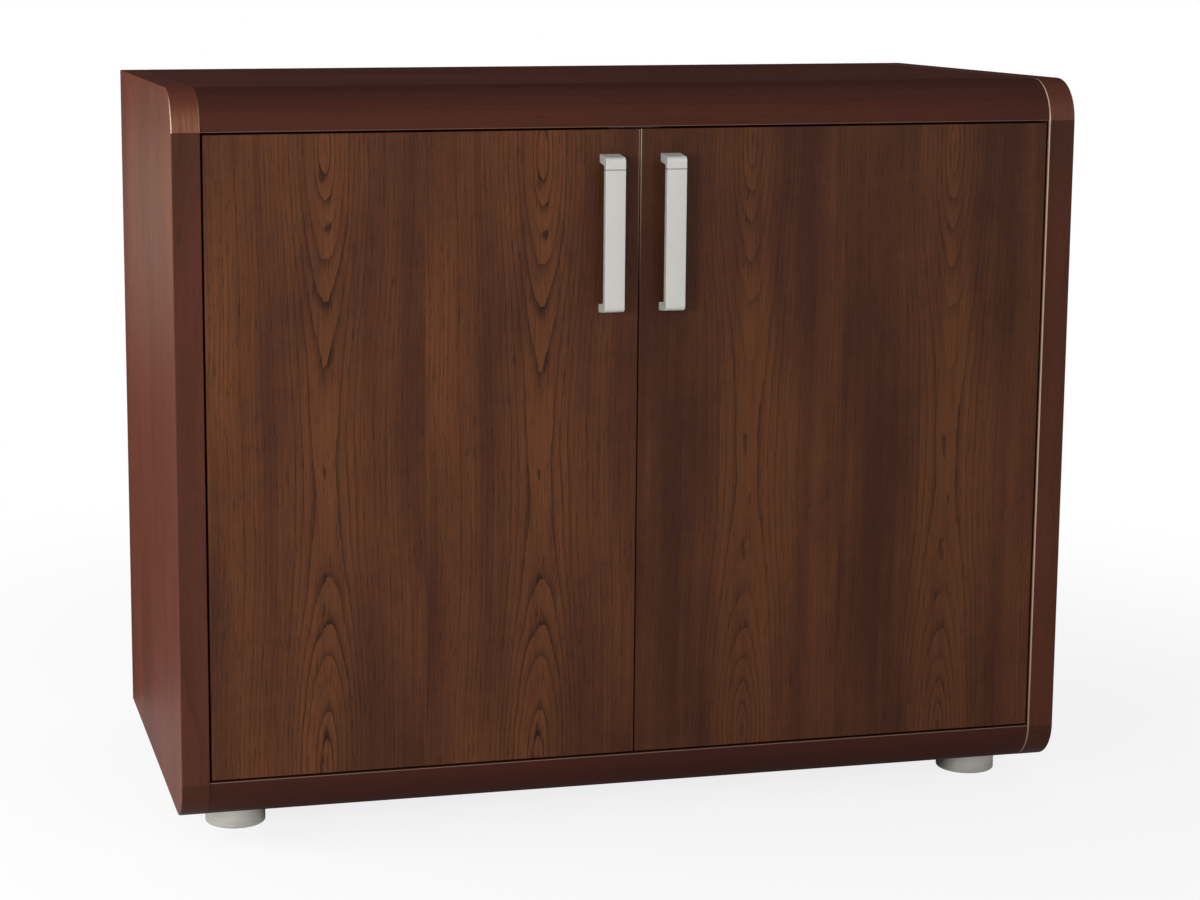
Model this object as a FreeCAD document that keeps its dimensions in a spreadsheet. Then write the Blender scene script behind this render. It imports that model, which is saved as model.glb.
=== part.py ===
import FreeCAD, Part, Sketcher
import math
import os

from FreeCAD import Placement, Rotation, Vector

# An office credenza: a veneered case with rounded front corners, two inset doors on concealed
# hinges, bridge handles, one shelf and four levelling feet.
# Frame: +X to the viewer's right, +Y to the back, +Z up.  The origin is on the floor, under the
# middle of the footprint (the handles included).

doc = FreeCAD.newDocument("credenza")
sheet = doc.addObject("Spreadsheet::Sheet", "Sizes")

# ---------------------------------------------------------------------------------------------
# Driving dimensions, in millimetres (angles in degrees)
# ---------------------------------------------------------------------------------------------

SIZES = {
    # case
    "case_width": 1000,
    "case_depth": 500,
    "case_height": 780,
    "side_thickness": 30,
    "board_thickness": 45,
    "corner_radius": 45,
    "front_recess": 2,
    "nose_flat": 2,
    "edge_round": 1.2,
    # back and shelf
    "back_thickness": 6,
    "groove_depth": 8,
    "back_inset": 12,
    "shelf_thickness": 22,
    "shelf_side_gap": 1,
    "shelf_setback": 22,
    "shelf_back_gap": 2,
    "shelf_level": 330,
    "pin_radius": 2.5,
    "pin_depth": 8,
    "pin_reach": 9,
    "pin_head_radius": 3.5,
    "pin_row_inset": 55,
    "pin_hole_pitch": 32,
    # case fittings
    "bolt_radius": 3.5,
    "bolt_tip_radius": 2.5,
    "bolt_tip_length": 11,
    "cam_radius": 7.5,
    "cam_depth": 13,
    "cam_distance": 34,
    "cam_axis_depth": 9.5,
    "fitting_front_inset": 90,
    "fitting_back_inset": 110,
    "dowel_radius": 4,
    "dowel_length": 30,
    "dowel_in_side": 12,
    "dowel_spacing": 32,
    # doors
    "door_thickness": 18,
    "door_gap": 2.5,
    "meeting_gap": 1.5,
    "door_edge_round": 0.8,
    # handles
    "handle_spacing": 160,
    "handle_leg": 9,
    "handle_width": 22,
    "handle_standoff": 24,
    "handle_bar_thickness": 8,
    "handle_leg_slant": 2,
    "handle_corner_radius": 5,
    "handle_inner_radius": 2,
    "handle_end_length": 15,
    "handle_edge_round": 0.6,
    "handle_side_inset": 33,
    "handle_top_inset": 26,
    "handle_screw_radius": 2,
    "handle_screw_bite": 10,
    "handle_screw_head_radius": 4,
    "handle_screw_head": 2.4,
    # hinges
    "hinge_end_distance": 95,
    "cup_radius": 17.5,
    "cup_depth": 11.5,
    "cup_wall": 0.8,
    "cup_edge_distance": 5,
    "cup_fit": 0.1,
    "flange_thickness": 1,
    "flange_width": 24,
    "flange_height": 60,
    "flange_start": 14,
    "cup_screw_spacing": 48,
    "cup_screw_offset": 9.5,
    "cup_screw_radius": 1.75,
    "cup_screw_length": 12,
    "cup_screw_head_radius": 3.4,
    "cup_screw_head": 1.2,
    "link_half_thickness": 1.25,
    "link_width": 8,
    "link_eye_radius": 1.8,
    "link_pin_radius": 1,
    "link_pin_fit": 0.05,
    "link_pivot_inset": 3.5,
    "link_pivot_back": 2.3,
    "arm_side_gap": 0.3,
    "arm_cheek": 1.7,
    "arm_front_gap": 0.6,
    "arm_height": 6,
    "arm_cheek_length": 18,
    "arm_length": 62,
    "plate_thickness": 3,
    "plate_riser": 3,
    "plate_setback": 37,
    "plate_length": 34,
    "plate_height": 44,
    "plate_screw_spacing": 32,
    "plate_screw_radius": 2.5,
    "plate_screw_length": 13,
    "plate_screw_head_radius": 4.2,
    "plate_screw_head": 1.4,
    # door stop
    "stop_width": 60,
    "stop_depth": 14,
    "stop_height": 12,
    "buffer_radius": 4,
    "buffer_thickness": 2,
    "buffer_gap": 0.3,
    # feet
    "foot_height": 25,
    "foot_radius": 33,
    "foot_side_inset": 68.5,
    "foot_end_inset": 85,
    "foot_wall": 3,
    "foot_top": 4,
    "foot_bottom_round": 2,
    "foot_boss_radius": 9,
    "foot_boss_height": 7,
    "glide_radius": 27,
    "glide_thickness": 5,
    "glide_round": 1.5,
    "glide_lift": 0.8,
    "glide_socket_radius": 7,
    "glide_socket_height": 4,
    "spindle_radius": 3,
    "spindle_fit": 0.05,
    "spindle_head_radius": 5,
    "spindle_head": 2.5,
    "spindle_length": 24,
    "key_radius": 1.5,
    "key_depth": 3,
    "key_hole_radius": 4,
    "foot_screw_radius": 2,
    "foot_screw_length": 16,
    "foot_screw_circle": 22,
    "foot_screw_head_radius": 3.5,
    "foot_screw_head": 2,
}

for row, (alias, value) in enumerate(SIZES.items(), start=1):
    sheet.set(f"A{row}", alias)
    sheet.set(f"B{row}", str(value))
    sheet.setAlias(f"B{row}", alias)
doc.recompute()


class Size:
    """A length as a formula on the sheet, with the value that it has now."""

    def __init__(self, formula, value):
        self.formula = formula
        self.value = value

    def __add__(self, other):
        other = size(other)
        return Size(f"({self.formula} + {other.formula})", self.value + other.value)

    def __sub__(self, other):
        other = size(other)
        return Size(f"({self.formula} - {other.formula})", self.value - other.value)

    def __mul__(self, other):
        other = size(other)
        return Size(f"({self.formula} * {other.formula})", self.value * other.value)

    def __truediv__(self, other):
        other = size(other)
        return Size(f"({self.formula} / {other.formula})", self.value / other.value)

    def __neg__(self):
        return Size(f"(0 - {self.formula})", -self.value)

    def __radd__(self, other):
        return size(other) + self

    def __rsub__(self, other):
        return size(other) - self

    def __rmul__(self, other):
        return size(other) * self


def size(value):
    """A sheet alias by name, or a plain number, as a Size."""
    if isinstance(value, Size):
        return value
    if isinstance(value, str):
        return Size(f"Sizes.{value}", float(sheet.get(value)))
    return Size(f"{value:.6g}", float(value))


def bind(thing, path, value):
    """Set a property and keep it tied to the sheet."""
    value = size(value)
    if hasattr(thing, path):
        setattr(thing, path, value.value)
    thing.setExpression(path, value.formula)


def place(thing, corner, rotation=None):
    """Put an object at a corner that follows the sheet."""
    corner = [size(value) for value in corner]
    thing.Placement = Placement(Vector(*[value.value for value in corner]), rotation or Rotation())
    for axis, value in zip("xyz", corner):
        thing.setExpression(f"Placement.Base.{axis}", value.formula)
    return thing


# ---------------------------------------------------------------------------------------------
# Shapes
# ---------------------------------------------------------------------------------------------

TURN_TO = {
    "+x": Rotation(Vector(0, 1, 0), 90),
    "-x": Rotation(Vector(0, 1, 0), -90),
    "+y": Rotation(Vector(1, 0, 0), -90),
    "-y": Rotation(Vector(1, 0, 0), 90),
    "+z": Rotation(),
    "-z": Rotation(Vector(1, 0, 0), 180),
}


def box(name, corner, extent):
    solid = doc.addObject("Part::Box", name)
    for side, value in zip(("Length", "Width", "Height"), extent):
        bind(solid, side, value)
    return place(solid, corner)


def cylinder(name, start, direction, radius, length):
    solid = doc.addObject("Part::Cylinder", name)
    bind(solid, "Radius", radius)
    bind(solid, "Height", length)
    return place(solid, start, TURN_TO[direction])


def fuse(name, pieces):
    solid = doc.addObject("Part::MultiFuse", name)
    solid.Shapes = pieces
    return solid


def group(name, pieces):
    """Like pieces that stay separate solids in one node."""
    bundle = doc.addObject("Part::Compound", name)
    bundle.Links = pieces
    return bundle


def cut(name, base, tools):
    solid = doc.addObject("Part::Cut", name)
    solid.Base = base
    solid.Tool = tools[0] if len(tools) == 1 else fuse(f"{name}_tools", tools)
    return solid


def mirrored(name, source, normal, base=(0, 0, 0)):
    """The same piece on the other side of a plane."""
    twin = doc.addObject("Part::Mirroring", name)
    twin.Source = source
    twin.Normal = Vector(*normal)
    for axis, value in zip("xyz", base):
        twin.setExpression(f"Base.{axis}", size(value).formula)
    return twin


def origin_plane(body, role):
    return next(item for item in body.Origin.OriginFeatures if item.Role == role)


def outline(body, name, plane, start, steps):
    """A closed sketch on one of the body's own planes.

    steps holds ("line", x, y) and ("arc", x, y, centre_x, centre_y, clockwise); each end point
    is held by its distances from the sketch's origin, and each arc by its centre as well.
    """
    sketch = body.newObject("Sketcher::SketchObject", name)
    sketch.AttachmentSupport = (origin_plane(body, plane), [""])
    sketch.MapMode = "FlatFace"
    here = [size(value) for value in start]
    ends = []
    for step in steps:
        there = [size(value) for value in step[1:3]]
        begin = Vector(here[0].value, here[1].value, 0)
        end = Vector(there[0].value, there[1].value, 0)
        if step[0] == "line":
            index = sketch.addGeometry(Part.LineSegment(begin, end), False)
            first, last = 1, 2
        else:
            centre = Vector(size(step[3]).value, size(step[4]).value, 0)
            radius = (begin - centre).Length
            angles = [math.atan2(point.y - centre.y, point.x - centre.x) for point in (begin, end)]
            first, last = 1, 2
            if step[5]:
                angles.reverse()
                first, last = 2, 1
            ring = Part.Circle(centre, Vector(0, 0, 1), radius)
            index = sketch.addGeometry(Part.ArcOfCircle(ring, *angles), False)
            hold(sketch, "X", index, 3, step[3])
        ends.append((index, first, last, there))
        here = there
    for number, (index, first, last, there) in enumerate(ends):
        following = ends[(number + 1) % len(ends)]
        sketch.addConstraint(Sketcher.Constraint("Coincident", index, last, following[0], following[1]))
        hold(sketch, "X", index, last, there[0])
        hold(sketch, "Y", index, last, there[1])
    return sketch


def hold(sketch, axis, index, point, value):
    """Tie one coordinate of a point of the sketch to the sheet."""
    value = size(value)
    kind = f"Distance{axis}"
    number = sketch.addConstraint(Sketcher.Constraint(kind, -1, 1, index, point, value.value))
    sketch.setExpression(f"Constraints[{number}]", value.formula)


def padded(name, plane, start, steps, length, corner):
    """A board or bar of one section: the sketch pushed out along its normal."""
    body = doc.addObject("PartDesign::Body", name)
    sketch = outline(body, f"{name}_outline", plane, start, steps)
    pad = body.newObject("PartDesign::Pad", f"{name}_pad")
    pad.Profile = sketch
    bind(pad, "Length", length)
    sketch.Visibility = False
    place(body, corner)
    doc.recompute()
    return body


def turned(name, start, steps, corner):
    """A turned piece: the half section spun about the body's Z axis."""
    body = doc.addObject("PartDesign::Body", name)
    sketch = outline(body, f"{name}_outline", "XZ_Plane", start, steps)
    spin = body.newObject("PartDesign::Revolution", f"{name}_turn")
    spin.Profile = sketch
    spin.ReferenceAxis = (sketch, ["V_Axis"])
    spin.Angle = 360
    sketch.Visibility = False
    place(body, corner)
    doc.recompute()
    return body


def eased(body, radius, wanted):
    """Round the edges that the rule picks from the body's last feature."""
    last = body.Tip
    names = [
        f"Edge{number}"
        for number, edge in enumerate(last.Shape.Edges, start=1)
        if wanted(edge)
    ]
    fillet = body.newObject("PartDesign::Fillet", f"{body.Name}_rounding")
    fillet.Base = (last, names)
    bind(fillet, "Radius", radius)
    doc.recompute()
    return body


def across(axis):
    """A rule for edges that lie in a plane square to the axis."""
    return lambda edge: getattr(edge.BoundBox, f"{axis}Length") < 1e-6


# Two like pieces stand half their spacing below and above the middle.
BOTH_SIDES = (-0.5, 0.5)


# ---------------------------------------------------------------------------------------------
# Places that several pieces share
# ---------------------------------------------------------------------------------------------

handle_reach = size("handle_standoff") - "front_recess"
case_front = (handle_reach - "case_depth") / 2
case_back = case_front + "case_depth"
case_left = -size("case_width") / 2
case_bottom = size("foot_height")
case_top = case_bottom + "case_height"
inner_left = case_left + "side_thickness"
inner_width = size("case_width") - 2 * size("side_thickness")
floor_level = case_bottom + "board_thickness"
ceiling_level = case_top - "board_thickness"
opening_height = ceiling_level - floor_level
door_front = case_front + "front_recess"
door_back = door_front + "door_thickness"
door_left = inner_left + "door_gap"
door_width = (inner_width - 2 * size("door_gap") - "meeting_gap") / 2
door_bottom = floor_level + "door_gap"
door_height = opening_height - 2 * size("door_gap")
back_front = case_back - "back_inset" - "back_thickness"
pin_row_front = door_back + "pin_row_inset"
pin_row_back = back_front - "pin_row_inset"
shelf_bottom = floor_level + "shelf_level"
pin_level = shelf_bottom - "pin_head_radius"
hinge_levels = {
    "upper": door_bottom + door_height - "hinge_end_distance",
    "lower": door_bottom + "hinge_end_distance",
}
cup_x = door_left + "cup_edge_distance" + "cup_radius"
plate_y = door_back + "plate_setback"

nodes = {}


def keep(name, thing):
    """Give a finished piece its node name."""
    thing.Label = name
    nodes[name] = thing
    return thing


def keep_pair(name, thing):
    """A left-hand piece and its mirror image on the right."""
    keep(f"left_{name}", thing)
    keep(f"right_{name}", mirrored(f"right_{name}_twin", thing, (1, 0, 0)))


# ---------------------------------------------------------------------------------------------
# Case fittings: cam bolts from the sides, cams in the boards, beech dowels
# ---------------------------------------------------------------------------------------------

# Each board end has two cam fittings with a dowel beside each.
fitting_rows = {
    "front": (case_front + "fitting_front_inset", 1),
    "back": (case_back - "fitting_back_inset", -1),
}
cam_levels = {
    "bottom": (floor_level - "cam_axis_depth", floor_level, "-z"),
    "top": (ceiling_level + "cam_axis_depth", ceiling_level, "+z"),
}


def fittings(board, purpose):
    """Bolts, cams and dowels at the left end of a board, as pieces or as the holes for them."""
    bolt_level, cam_mouth, cam_way = cam_levels[board]
    bolts, cams, dowels = [], [], []
    for row, (row_y, step) in fitting_rows.items():
        tag = f"{purpose}_{board}_{row}"
        tip_start = inner_left - "bolt_tip_length"
        tip = cylinder(f"bolt_tip_{tag}", (tip_start, row_y, bolt_level), "+x", "bolt_tip_radius",
                       "bolt_tip_length")
        shaft_length = size("cam_distance") - "cam_radius"
        shaft = cylinder(f"bolt_shaft_{tag}", (inner_left, row_y, bolt_level), "+x", "bolt_radius",
                         shaft_length)
        bolts.append((tip, shaft))
        cams.append(cylinder(f"cam_{tag}", (inner_left + "cam_distance", row_y, cam_mouth), cam_way,
                             "cam_radius", "cam_depth"))
        dowel_y = row_y + step * size("dowel_spacing")
        dowels.append(cylinder(f"dowel_{tag}", (inner_left - "dowel_in_side", dowel_y, bolt_level),
                               "+x", "dowel_radius", "dowel_length"))
    return bolts, cams, dowels


case_bolts, case_cams, case_dowels = [], [], []
side_holes = []
board_holes = {}
for board in cam_levels:
    bolts, cams, dowels = fittings(board, "fit")
    case_bolts += [fuse(f"cam_bolt_{board}_{number}", list(pair)) for number, pair in enumerate(bolts)]
    case_cams += cams
    case_dowels += dowels
    bolts, cams, dowels = fittings(board, "hole")
    side_holes += [tip for tip, shaft in bolts] + dowels
    board_holes[board] = [shaft for tip, shaft in bolts] + cams

for name, left_pieces in (("cam_bolts", case_bolts), ("cam_locks", case_cams), ("dowels", case_dowels)):
    left = group(f"{name}_left", left_pieces)
    keep(name, group(name, [left, mirrored(f"{name}_right", left, (1, 0, 0))]))

# ---------------------------------------------------------------------------------------------
# Case: two sides over the full height, a top and a bottom with rounded noses, back and shelf
# ---------------------------------------------------------------------------------------------


def side_panel():
    depth, height, radius = size("case_depth"), size("case_height"), size("corner_radius")
    steps = [
        ("line", depth, 0),
        ("line", depth, height),
        ("line", radius, height),
        ("arc", 0, height - radius, radius, height - radius, False),
        ("line", 0, radius),
        ("arc", radius, 0, radius, radius, False),
    ]
    body = padded("side_board", "YZ_Plane", (radius, 0), steps, "side_thickness",
                  (case_left, case_front, case_bottom))
    eased(body, "edge_round", across("X"))
    groove_bottom = floor_level - "groove_depth"
    groove_height = opening_height + 2 * size("groove_depth")
    tools = [box("side_groove", (inner_left - "groove_depth", back_front, groove_bottom),
                 ("groove_depth", "back_thickness", groove_height))]
    for row, row_y in (("front", pin_row_front), ("back", pin_row_back)):
        for step in (-1, 0, 1):
            level = pin_level + step * size("pin_hole_pitch")
            tools.append(cylinder(f"pin_hole_{row}_{step + 1}", (inner_left - "pin_depth", row_y, level),
                                  "+x", "pin_radius", "pin_depth"))
    for end, level in hinge_levels.items():
        tools += plate_screw_shafts(f"hole_{end}", level)
    return cut("side_drilled", body, tools + side_holes)


def plate_screw_shafts(tag, level):
    """The two wood screws of a hinge plate, as far as they sit in the side panel."""
    shafts = []
    for number, step in enumerate(BOTH_SIDES):
        height = level + step * size("plate_screw_spacing")
        bite = size("plate_screw_length") - "plate_thickness"
        shafts.append(cylinder(f"plate_screw_{tag}_{number}", (inner_left - bite, plate_y, height), "+x",
                               "plate_screw_radius", bite))
    return shafts


def nosed_board(name, board, rising):
    """A board between the sides; its front edge is a quarter round over nearly all its thickness."""
    depth = size("case_depth") - "front_recess"
    thick = size("board_thickness")
    nose = thick - "nose_flat"
    if rising:
        steps = [
            ("line", depth, 0),
            ("line", depth, thick),
            ("line", nose, thick),
            ("arc", 0, size("nose_flat"), nose, size("nose_flat"), False),
            ("line", 0, 0),
        ]
        start, level, groove_level = (0, 0), ceiling_level, ceiling_level
    else:
        steps = [
            ("line", depth, 0),
            ("line", depth, thick),
            ("line", 0, thick),
            ("line", 0, nose),
            ("arc", nose, 0, nose, nose, False),
        ]
        start, level, groove_level = (nose, 0), case_bottom, floor_level - "groove_depth"
    body = padded(f"{name}_board", "YZ_Plane", start, steps, inner_width, (inner_left, door_front, level))
    tools = [box(f"{name}_groove", (inner_left, back_front, groove_level),
                 (inner_width, "back_thickness", "groove_depth"))]
    left_holes = group(f"{name}_left_holes", board_holes[board] + dowel_holes(board))
    tools += [left_holes, mirrored(f"{name}_right_holes", left_holes, (1, 0, 0))]
    if rising:
        tools += stop_screw_shafts("hole")
    else:
        tools += foot_holes()
    return cut(f"{name}_drilled", body, tools)


def dowel_holes(board):
    """The dowel holes in a board's left end."""
    bolt_level = cam_levels[board][0]
    holes = []
    for row, (row_y, step) in fitting_rows.items():
        dowel_y = row_y + step * size("dowel_spacing")
        in_board = size("dowel_length") - "dowel_in_side"
        holes.append(cylinder(f"dowel_hole_{board}_{row}", (inner_left, dowel_y, bolt_level), "+x",
                              "dowel_radius", in_board))
    return holes


# ---------------------------------------------------------------------------------------------
# Door stop under the top board, behind the meeting edges
# ---------------------------------------------------------------------------------------------

stop_front = door_back + "buffer_gap" + "buffer_thickness"
stop_left = -size("stop_width") / 2
# Shares of the stop's width, from its middle
stop_screw_shares = (-0.3, 0.3)
buffer_shares = (-0.25, 0.25)


def stop_screw_shafts(purpose):
    """Two screws up into the top board; the stop's own holes are the same two bores."""
    shafts = []
    for number, share in enumerate(stop_screw_shares):
        start = (share * size("stop_width"), stop_front + size("stop_depth") / 2,
                 ceiling_level - "stop_height")
        shafts.append(cylinder(f"stop_screw_{purpose}_{number}", start, "+z", "cup_screw_radius",
                               size("stop_height") + "cup_screw_length"))
    return shafts


stop_block = box("stop_block", (stop_left, stop_front, ceiling_level - "stop_height"),
                 ("stop_width", "stop_depth", "stop_height"))
keep("door_stop", cut("stop_drilled", stop_block, stop_screw_shafts("bore")))
stop_screws = []
for number, shaft in enumerate(stop_screw_shafts("fit")):
    start = (stop_screw_shares[number] * size("stop_width"), stop_front + size("stop_depth") / 2,
             ceiling_level - "stop_height")
    head = cylinder(f"stop_screw_head_{number}", start, "-z", "cup_screw_head_radius", "cup_screw_head")
    stop_screws.append(fuse(f"stop_screw_{number}", [shaft, head]))
keep("door_stop_screws", group("door_stop_screws", stop_screws))
buffers = [
    cylinder(f"buffer_{number}", (share * size("stop_width"), stop_front,
                                  ceiling_level - size("stop_height") / 2),
             "-y", "buffer_radius", "buffer_thickness")
    for number, share in enumerate(buffer_shares)
]
keep("door_buffers", group("door_buffers", buffers))

# ---------------------------------------------------------------------------------------------
# Levelling feet: a metal housing screwed under the case, with a glide on a threaded spindle
# ---------------------------------------------------------------------------------------------

foot_left = case_left + "foot_side_inset"
foot_places = {
    "front_left": (foot_left, case_front + "foot_end_inset"),
    "front_right": (-foot_left, case_front + "foot_end_inset"),
    "back_left": (foot_left, case_back - "foot_end_inset"),
    "back_right": (-foot_left, case_back - "foot_end_inset"),
}
foot_screw_turns = (30, 150, 270)


def foot_screw_spots(place_x, place_y):
    """Where the housing's three screws stand."""
    for turn in foot_screw_turns:
        reach_x = round(math.cos(math.radians(turn)), 6)
        reach_y = round(math.sin(math.radians(turn)), 6)
        yield (place_x + reach_x * size("foot_screw_circle"), place_y + reach_y * size("foot_screw_circle"))


def foot_screw(tag, spot, purpose):
    """One screw from inside the housing up into the bottom board."""
    seat = case_bottom - "foot_top"
    shaft = cylinder(f"foot_screw_{purpose}_{tag}", (*spot, seat), "+z", "foot_screw_radius",
                     "foot_screw_length")
    if purpose != "fit":
        return shaft
    head = cylinder(f"foot_screw_head_{tag}", (*spot, seat), "-z", "foot_screw_head_radius",
                    "foot_screw_head")
    return fuse(f"foot_screw_{tag}", [shaft, head])


def foot_holes():
    """Screw holes under the bottom board, and the key holes through it to the spindles."""
    holes = []
    for corner, (place_x, place_y) in foot_places.items():
        holes.append(cylinder(f"key_hole_{corner}", (place_x, place_y, case_bottom), "+z",
                              "key_hole_radius", "board_thickness"))
        for number, spot in enumerate(foot_screw_spots(place_x, place_y)):
            holes.append(foot_screw(f"{corner}_{number}", spot, "board_hole"))
    return holes


def foot_housing(corner, place_x, place_y):
    """A turned cup, open below, with a threaded boss in its middle."""
    outer, height, wall = size("foot_radius"), size("foot_height"), size("foot_wall")
    roof = height - "foot_top"
    bore = size("spindle_radius") + "spindle_fit"
    boss, boss_end = size("foot_boss_radius"), roof - "foot_boss_height"
    bend = size("foot_bottom_round")
    steps = [
        ("line", bore, height),
        ("line", bore, boss_end),
        ("line", boss, boss_end),
        ("line", boss, roof),
        ("line", outer - wall, roof),
        ("line", outer - wall, 0),
        ("line", outer - bend, 0),
        ("arc", outer, bend, outer - bend, bend, False),
        ("line", outer, height),
    ]
    body = turned(f"housing_{corner}", (outer, height), steps, (place_x, place_y, 0))
    holes = [foot_screw(f"{corner}_{number}", spot, "housing_hole")
             for number, spot in enumerate(foot_screw_spots(place_x, place_y))]
    return cut(f"housing_{corner}_drilled", body, holes)


def foot_glide(corner, place_x, place_y):
    """The plastic pad that stands on the floor when the foot is screwed out."""
    outer, thick, bend = size("glide_radius"), size("glide_thickness"), size("glide_round")
    socket, socket_top = size("glide_socket_radius"), size("glide_thickness") + "glide_socket_height"
    seat = size("spindle_head_radius") + "spindle_fit"
    steps = [
        ("line", outer - bend, 0),
        ("arc", outer, bend, outer - bend, bend, False),
        ("line", outer, thick),
        ("line", socket, thick),
        ("line", socket, socket_top),
        ("line", seat, socket_top),
        ("line", seat, socket_top - "spindle_head"),
        ("line", 0, socket_top - "spindle_head"),
        ("line", 0, 0),
    ]
    return turned(f"glide_{corner}", (0, 0), steps, (place_x, place_y, "glide_lift"))


def foot_spindle(corner, place_x, place_y):
    """A threaded spindle: its head turns in the glide, and a key turns it from inside the case."""
    seat = size("glide_lift") + "glide_thickness" + "glide_socket_height" - "spindle_head"
    head, stem = size("spindle_head_radius"), size("spindle_radius")
    end = size("spindle_length")
    steps = [
        ("line", head, 0),
        ("line", head, "spindle_head"),
        ("line", stem, "spindle_head"),
        ("line", stem, end),
        ("line", "key_radius", end),
        ("line", "key_radius", end - "key_depth"),
        ("line", 0, end - "key_depth"),
        ("line", 0, 0),
    ]
    return turned(f"spindle_{corner}", (0, 0), steps, (place_x, place_y, seat))


foot_screws = []
for corner, (place_x, place_y) in foot_places.items():
    keep(f"{corner}_foot_housing", foot_housing(corner, place_x, place_y))
    keep(f"{corner}_foot_glide", foot_glide(corner, place_x, place_y))
    keep(f"{corner}_foot_spindle", foot_spindle(corner, place_x, place_y))
    foot_screws += [foot_screw(f"{corner}_{number}", spot, "fit")
                    for number, spot in enumerate(foot_screw_spots(place_x, place_y))]
keep("foot_screws", group("foot_screws", foot_screws))

# The case's own boards, now that every hole in them is known.
keep_pair("side_panel", side_panel())
keep("top_panel", nosed_board("top", "top", True))
keep("bottom_panel", nosed_board("bottom", "bottom", False))
keep("back_panel", box("back_board",
                       (inner_left - "groove_depth", back_front, floor_level - "groove_depth"),
                       (inner_width + 2 * size("groove_depth"), "back_thickness",
                        opening_height + 2 * size("groove_depth"))))
shelf_front = door_back + "shelf_setback"
keep("shelf", box("shelf_board", (inner_left + "shelf_side_gap", shelf_front, shelf_bottom),
                  (inner_width - 2 * size("shelf_side_gap"), back_front - "shelf_back_gap" - shelf_front,
                   "shelf_thickness")))

shelf_pins = []
for row, row_y in (("front", pin_row_front), ("back", pin_row_back)):
    stem = cylinder(f"pin_stem_{row}", (inner_left - "pin_depth", row_y, pin_level), "+x", "pin_radius",
                    "pin_depth")
    head = cylinder(f"pin_head_{row}", (inner_left, row_y, pin_level), "+x", "pin_head_radius", "pin_reach")
    shelf_pins.append(fuse(f"pin_{row}", [stem, head]))
left_pins = group("left_pins", shelf_pins)
keep("shelf_pins", group("shelf_pins", [left_pins, mirrored("right_pins", left_pins, (1, 0, 0))]))

# ---------------------------------------------------------------------------------------------
# Handles: a flat bar between two bracket ends, on two screws through the door
# ---------------------------------------------------------------------------------------------

handle_length = size("handle_spacing") + "handle_leg"
handle_top = door_bottom + door_height - "handle_top_inset"
handle_bottom = handle_top - handle_length
handle_left = -size("meeting_gap") / 2 - "handle_side_inset" - size("handle_width") / 2
handle_front = door_front - "handle_standoff"
handle_screw_x = handle_left + size("handle_width") / 2
handle_screw_levels = {
    "upper": handle_top - size("handle_leg") / 2,
    "lower": handle_bottom + size("handle_leg") / 2,
}


def handle_end():
    """The upper bracket end: the leg, which sinks toward the bar, and the corner in front."""
    reach, length, leg = size("handle_standoff"), size("handle_end_length"), size("handle_leg")
    thick, corner, inner = (size("handle_bar_thickness"), size("handle_corner_radius"),
                            size("handle_inner_radius"))
    front_top = length - "handle_leg_slant"
    under = front_top - leg
    steps = [
        ("line", thick, 0),
        ("line", thick, under - inner),
        ("arc", thick + inner, under, thick + inner, under - inner, True),
        ("line", reach, length - leg),
        ("line", reach, length),
        ("line", corner, front_top),
        ("arc", 0, front_top - corner, corner, front_top - corner, False),
        ("line", 0, 0),
    ]
    body = padded("handle_end", "YZ_Plane", (0, 0), steps, "handle_width",
                  (handle_left, handle_front, handle_top - length))
    eased(body, "handle_edge_round", end_rim)
    return body


def end_rim(edge):
    """The end's side outlines, without the short ones at the joint to the bar and at the door."""
    flat = edge.BoundBox.XLength < 1e-6
    on_joint = edge.BoundBox.ZMax < 1e-6
    at_door = edge.BoundBox.YMin > size("handle_standoff").value - 1e-6
    return flat and not on_joint and not at_door


def handle_bar():
    length = handle_length - 2 * size("handle_end_length")
    width, thick = size("handle_width"), size("handle_bar_thickness")
    steps = [("line", width, 0), ("line", width, thick), ("line", 0, thick), ("line", 0, 0)]
    body = padded("handle_bar", "XY_Plane", (0, 0), steps, length,
                  (handle_left, handle_front, handle_bottom + "handle_end_length"))
    eased(body, "handle_edge_round", lambda edge: edge.BoundBox.ZLength > 1)
    return body


def handle_screw(end, purpose):
    """A machine screw from the door's back face into the leg."""
    start = (handle_screw_x, door_back, handle_screw_levels[end])
    shaft = cylinder(f"handle_screw_{purpose}_{end}", start, "-y", "handle_screw_radius",
                     size("door_thickness") + "handle_screw_bite")
    if purpose != "fit":
        return shaft
    head = cylinder(f"handle_screw_head_{end}", start, "+y", "handle_screw_head_radius",
                    "handle_screw_head")
    return fuse(f"handle_screw_{end}", [shaft, head])


upper_end = handle_end()
mid_level = (handle_top + handle_bottom) / 2
lower_end = mirrored("handle_end_lower", upper_end, (0, 0, 1), (0, 0, mid_level))
keep_pair("handle_bar", handle_bar())
keep_pair("handle_upper_end", cut("handle_upper_bored", upper_end, [handle_screw("upper", "end_hole")]))
keep_pair("handle_lower_end", cut("handle_lower_bored", lower_end, [handle_screw("lower", "end_hole")]))
keep_pair("handle_screws", group("handle_screws", [handle_screw(end, "fit") for end in handle_screw_levels]))

# ---------------------------------------------------------------------------------------------
# Concealed hinges: cup in the door, arm and plate on the side, one curved link between them
# ---------------------------------------------------------------------------------------------

link_x = door_left + "link_pivot_inset"
link_y = door_back + "link_pivot_back"
cup_screw_x = cup_x + "cup_screw_offset"
# The link's bent middle line at rest, from its pivot into the cup, seen from above: distances
# from the door's hinge edge and from its back face.
link_line = ((3.5, 2.3), (10.5, 11.7), (14.6, 11.5), (34.1, 5.6), (37.1, 1.6), (34.5, -7.0))


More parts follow.
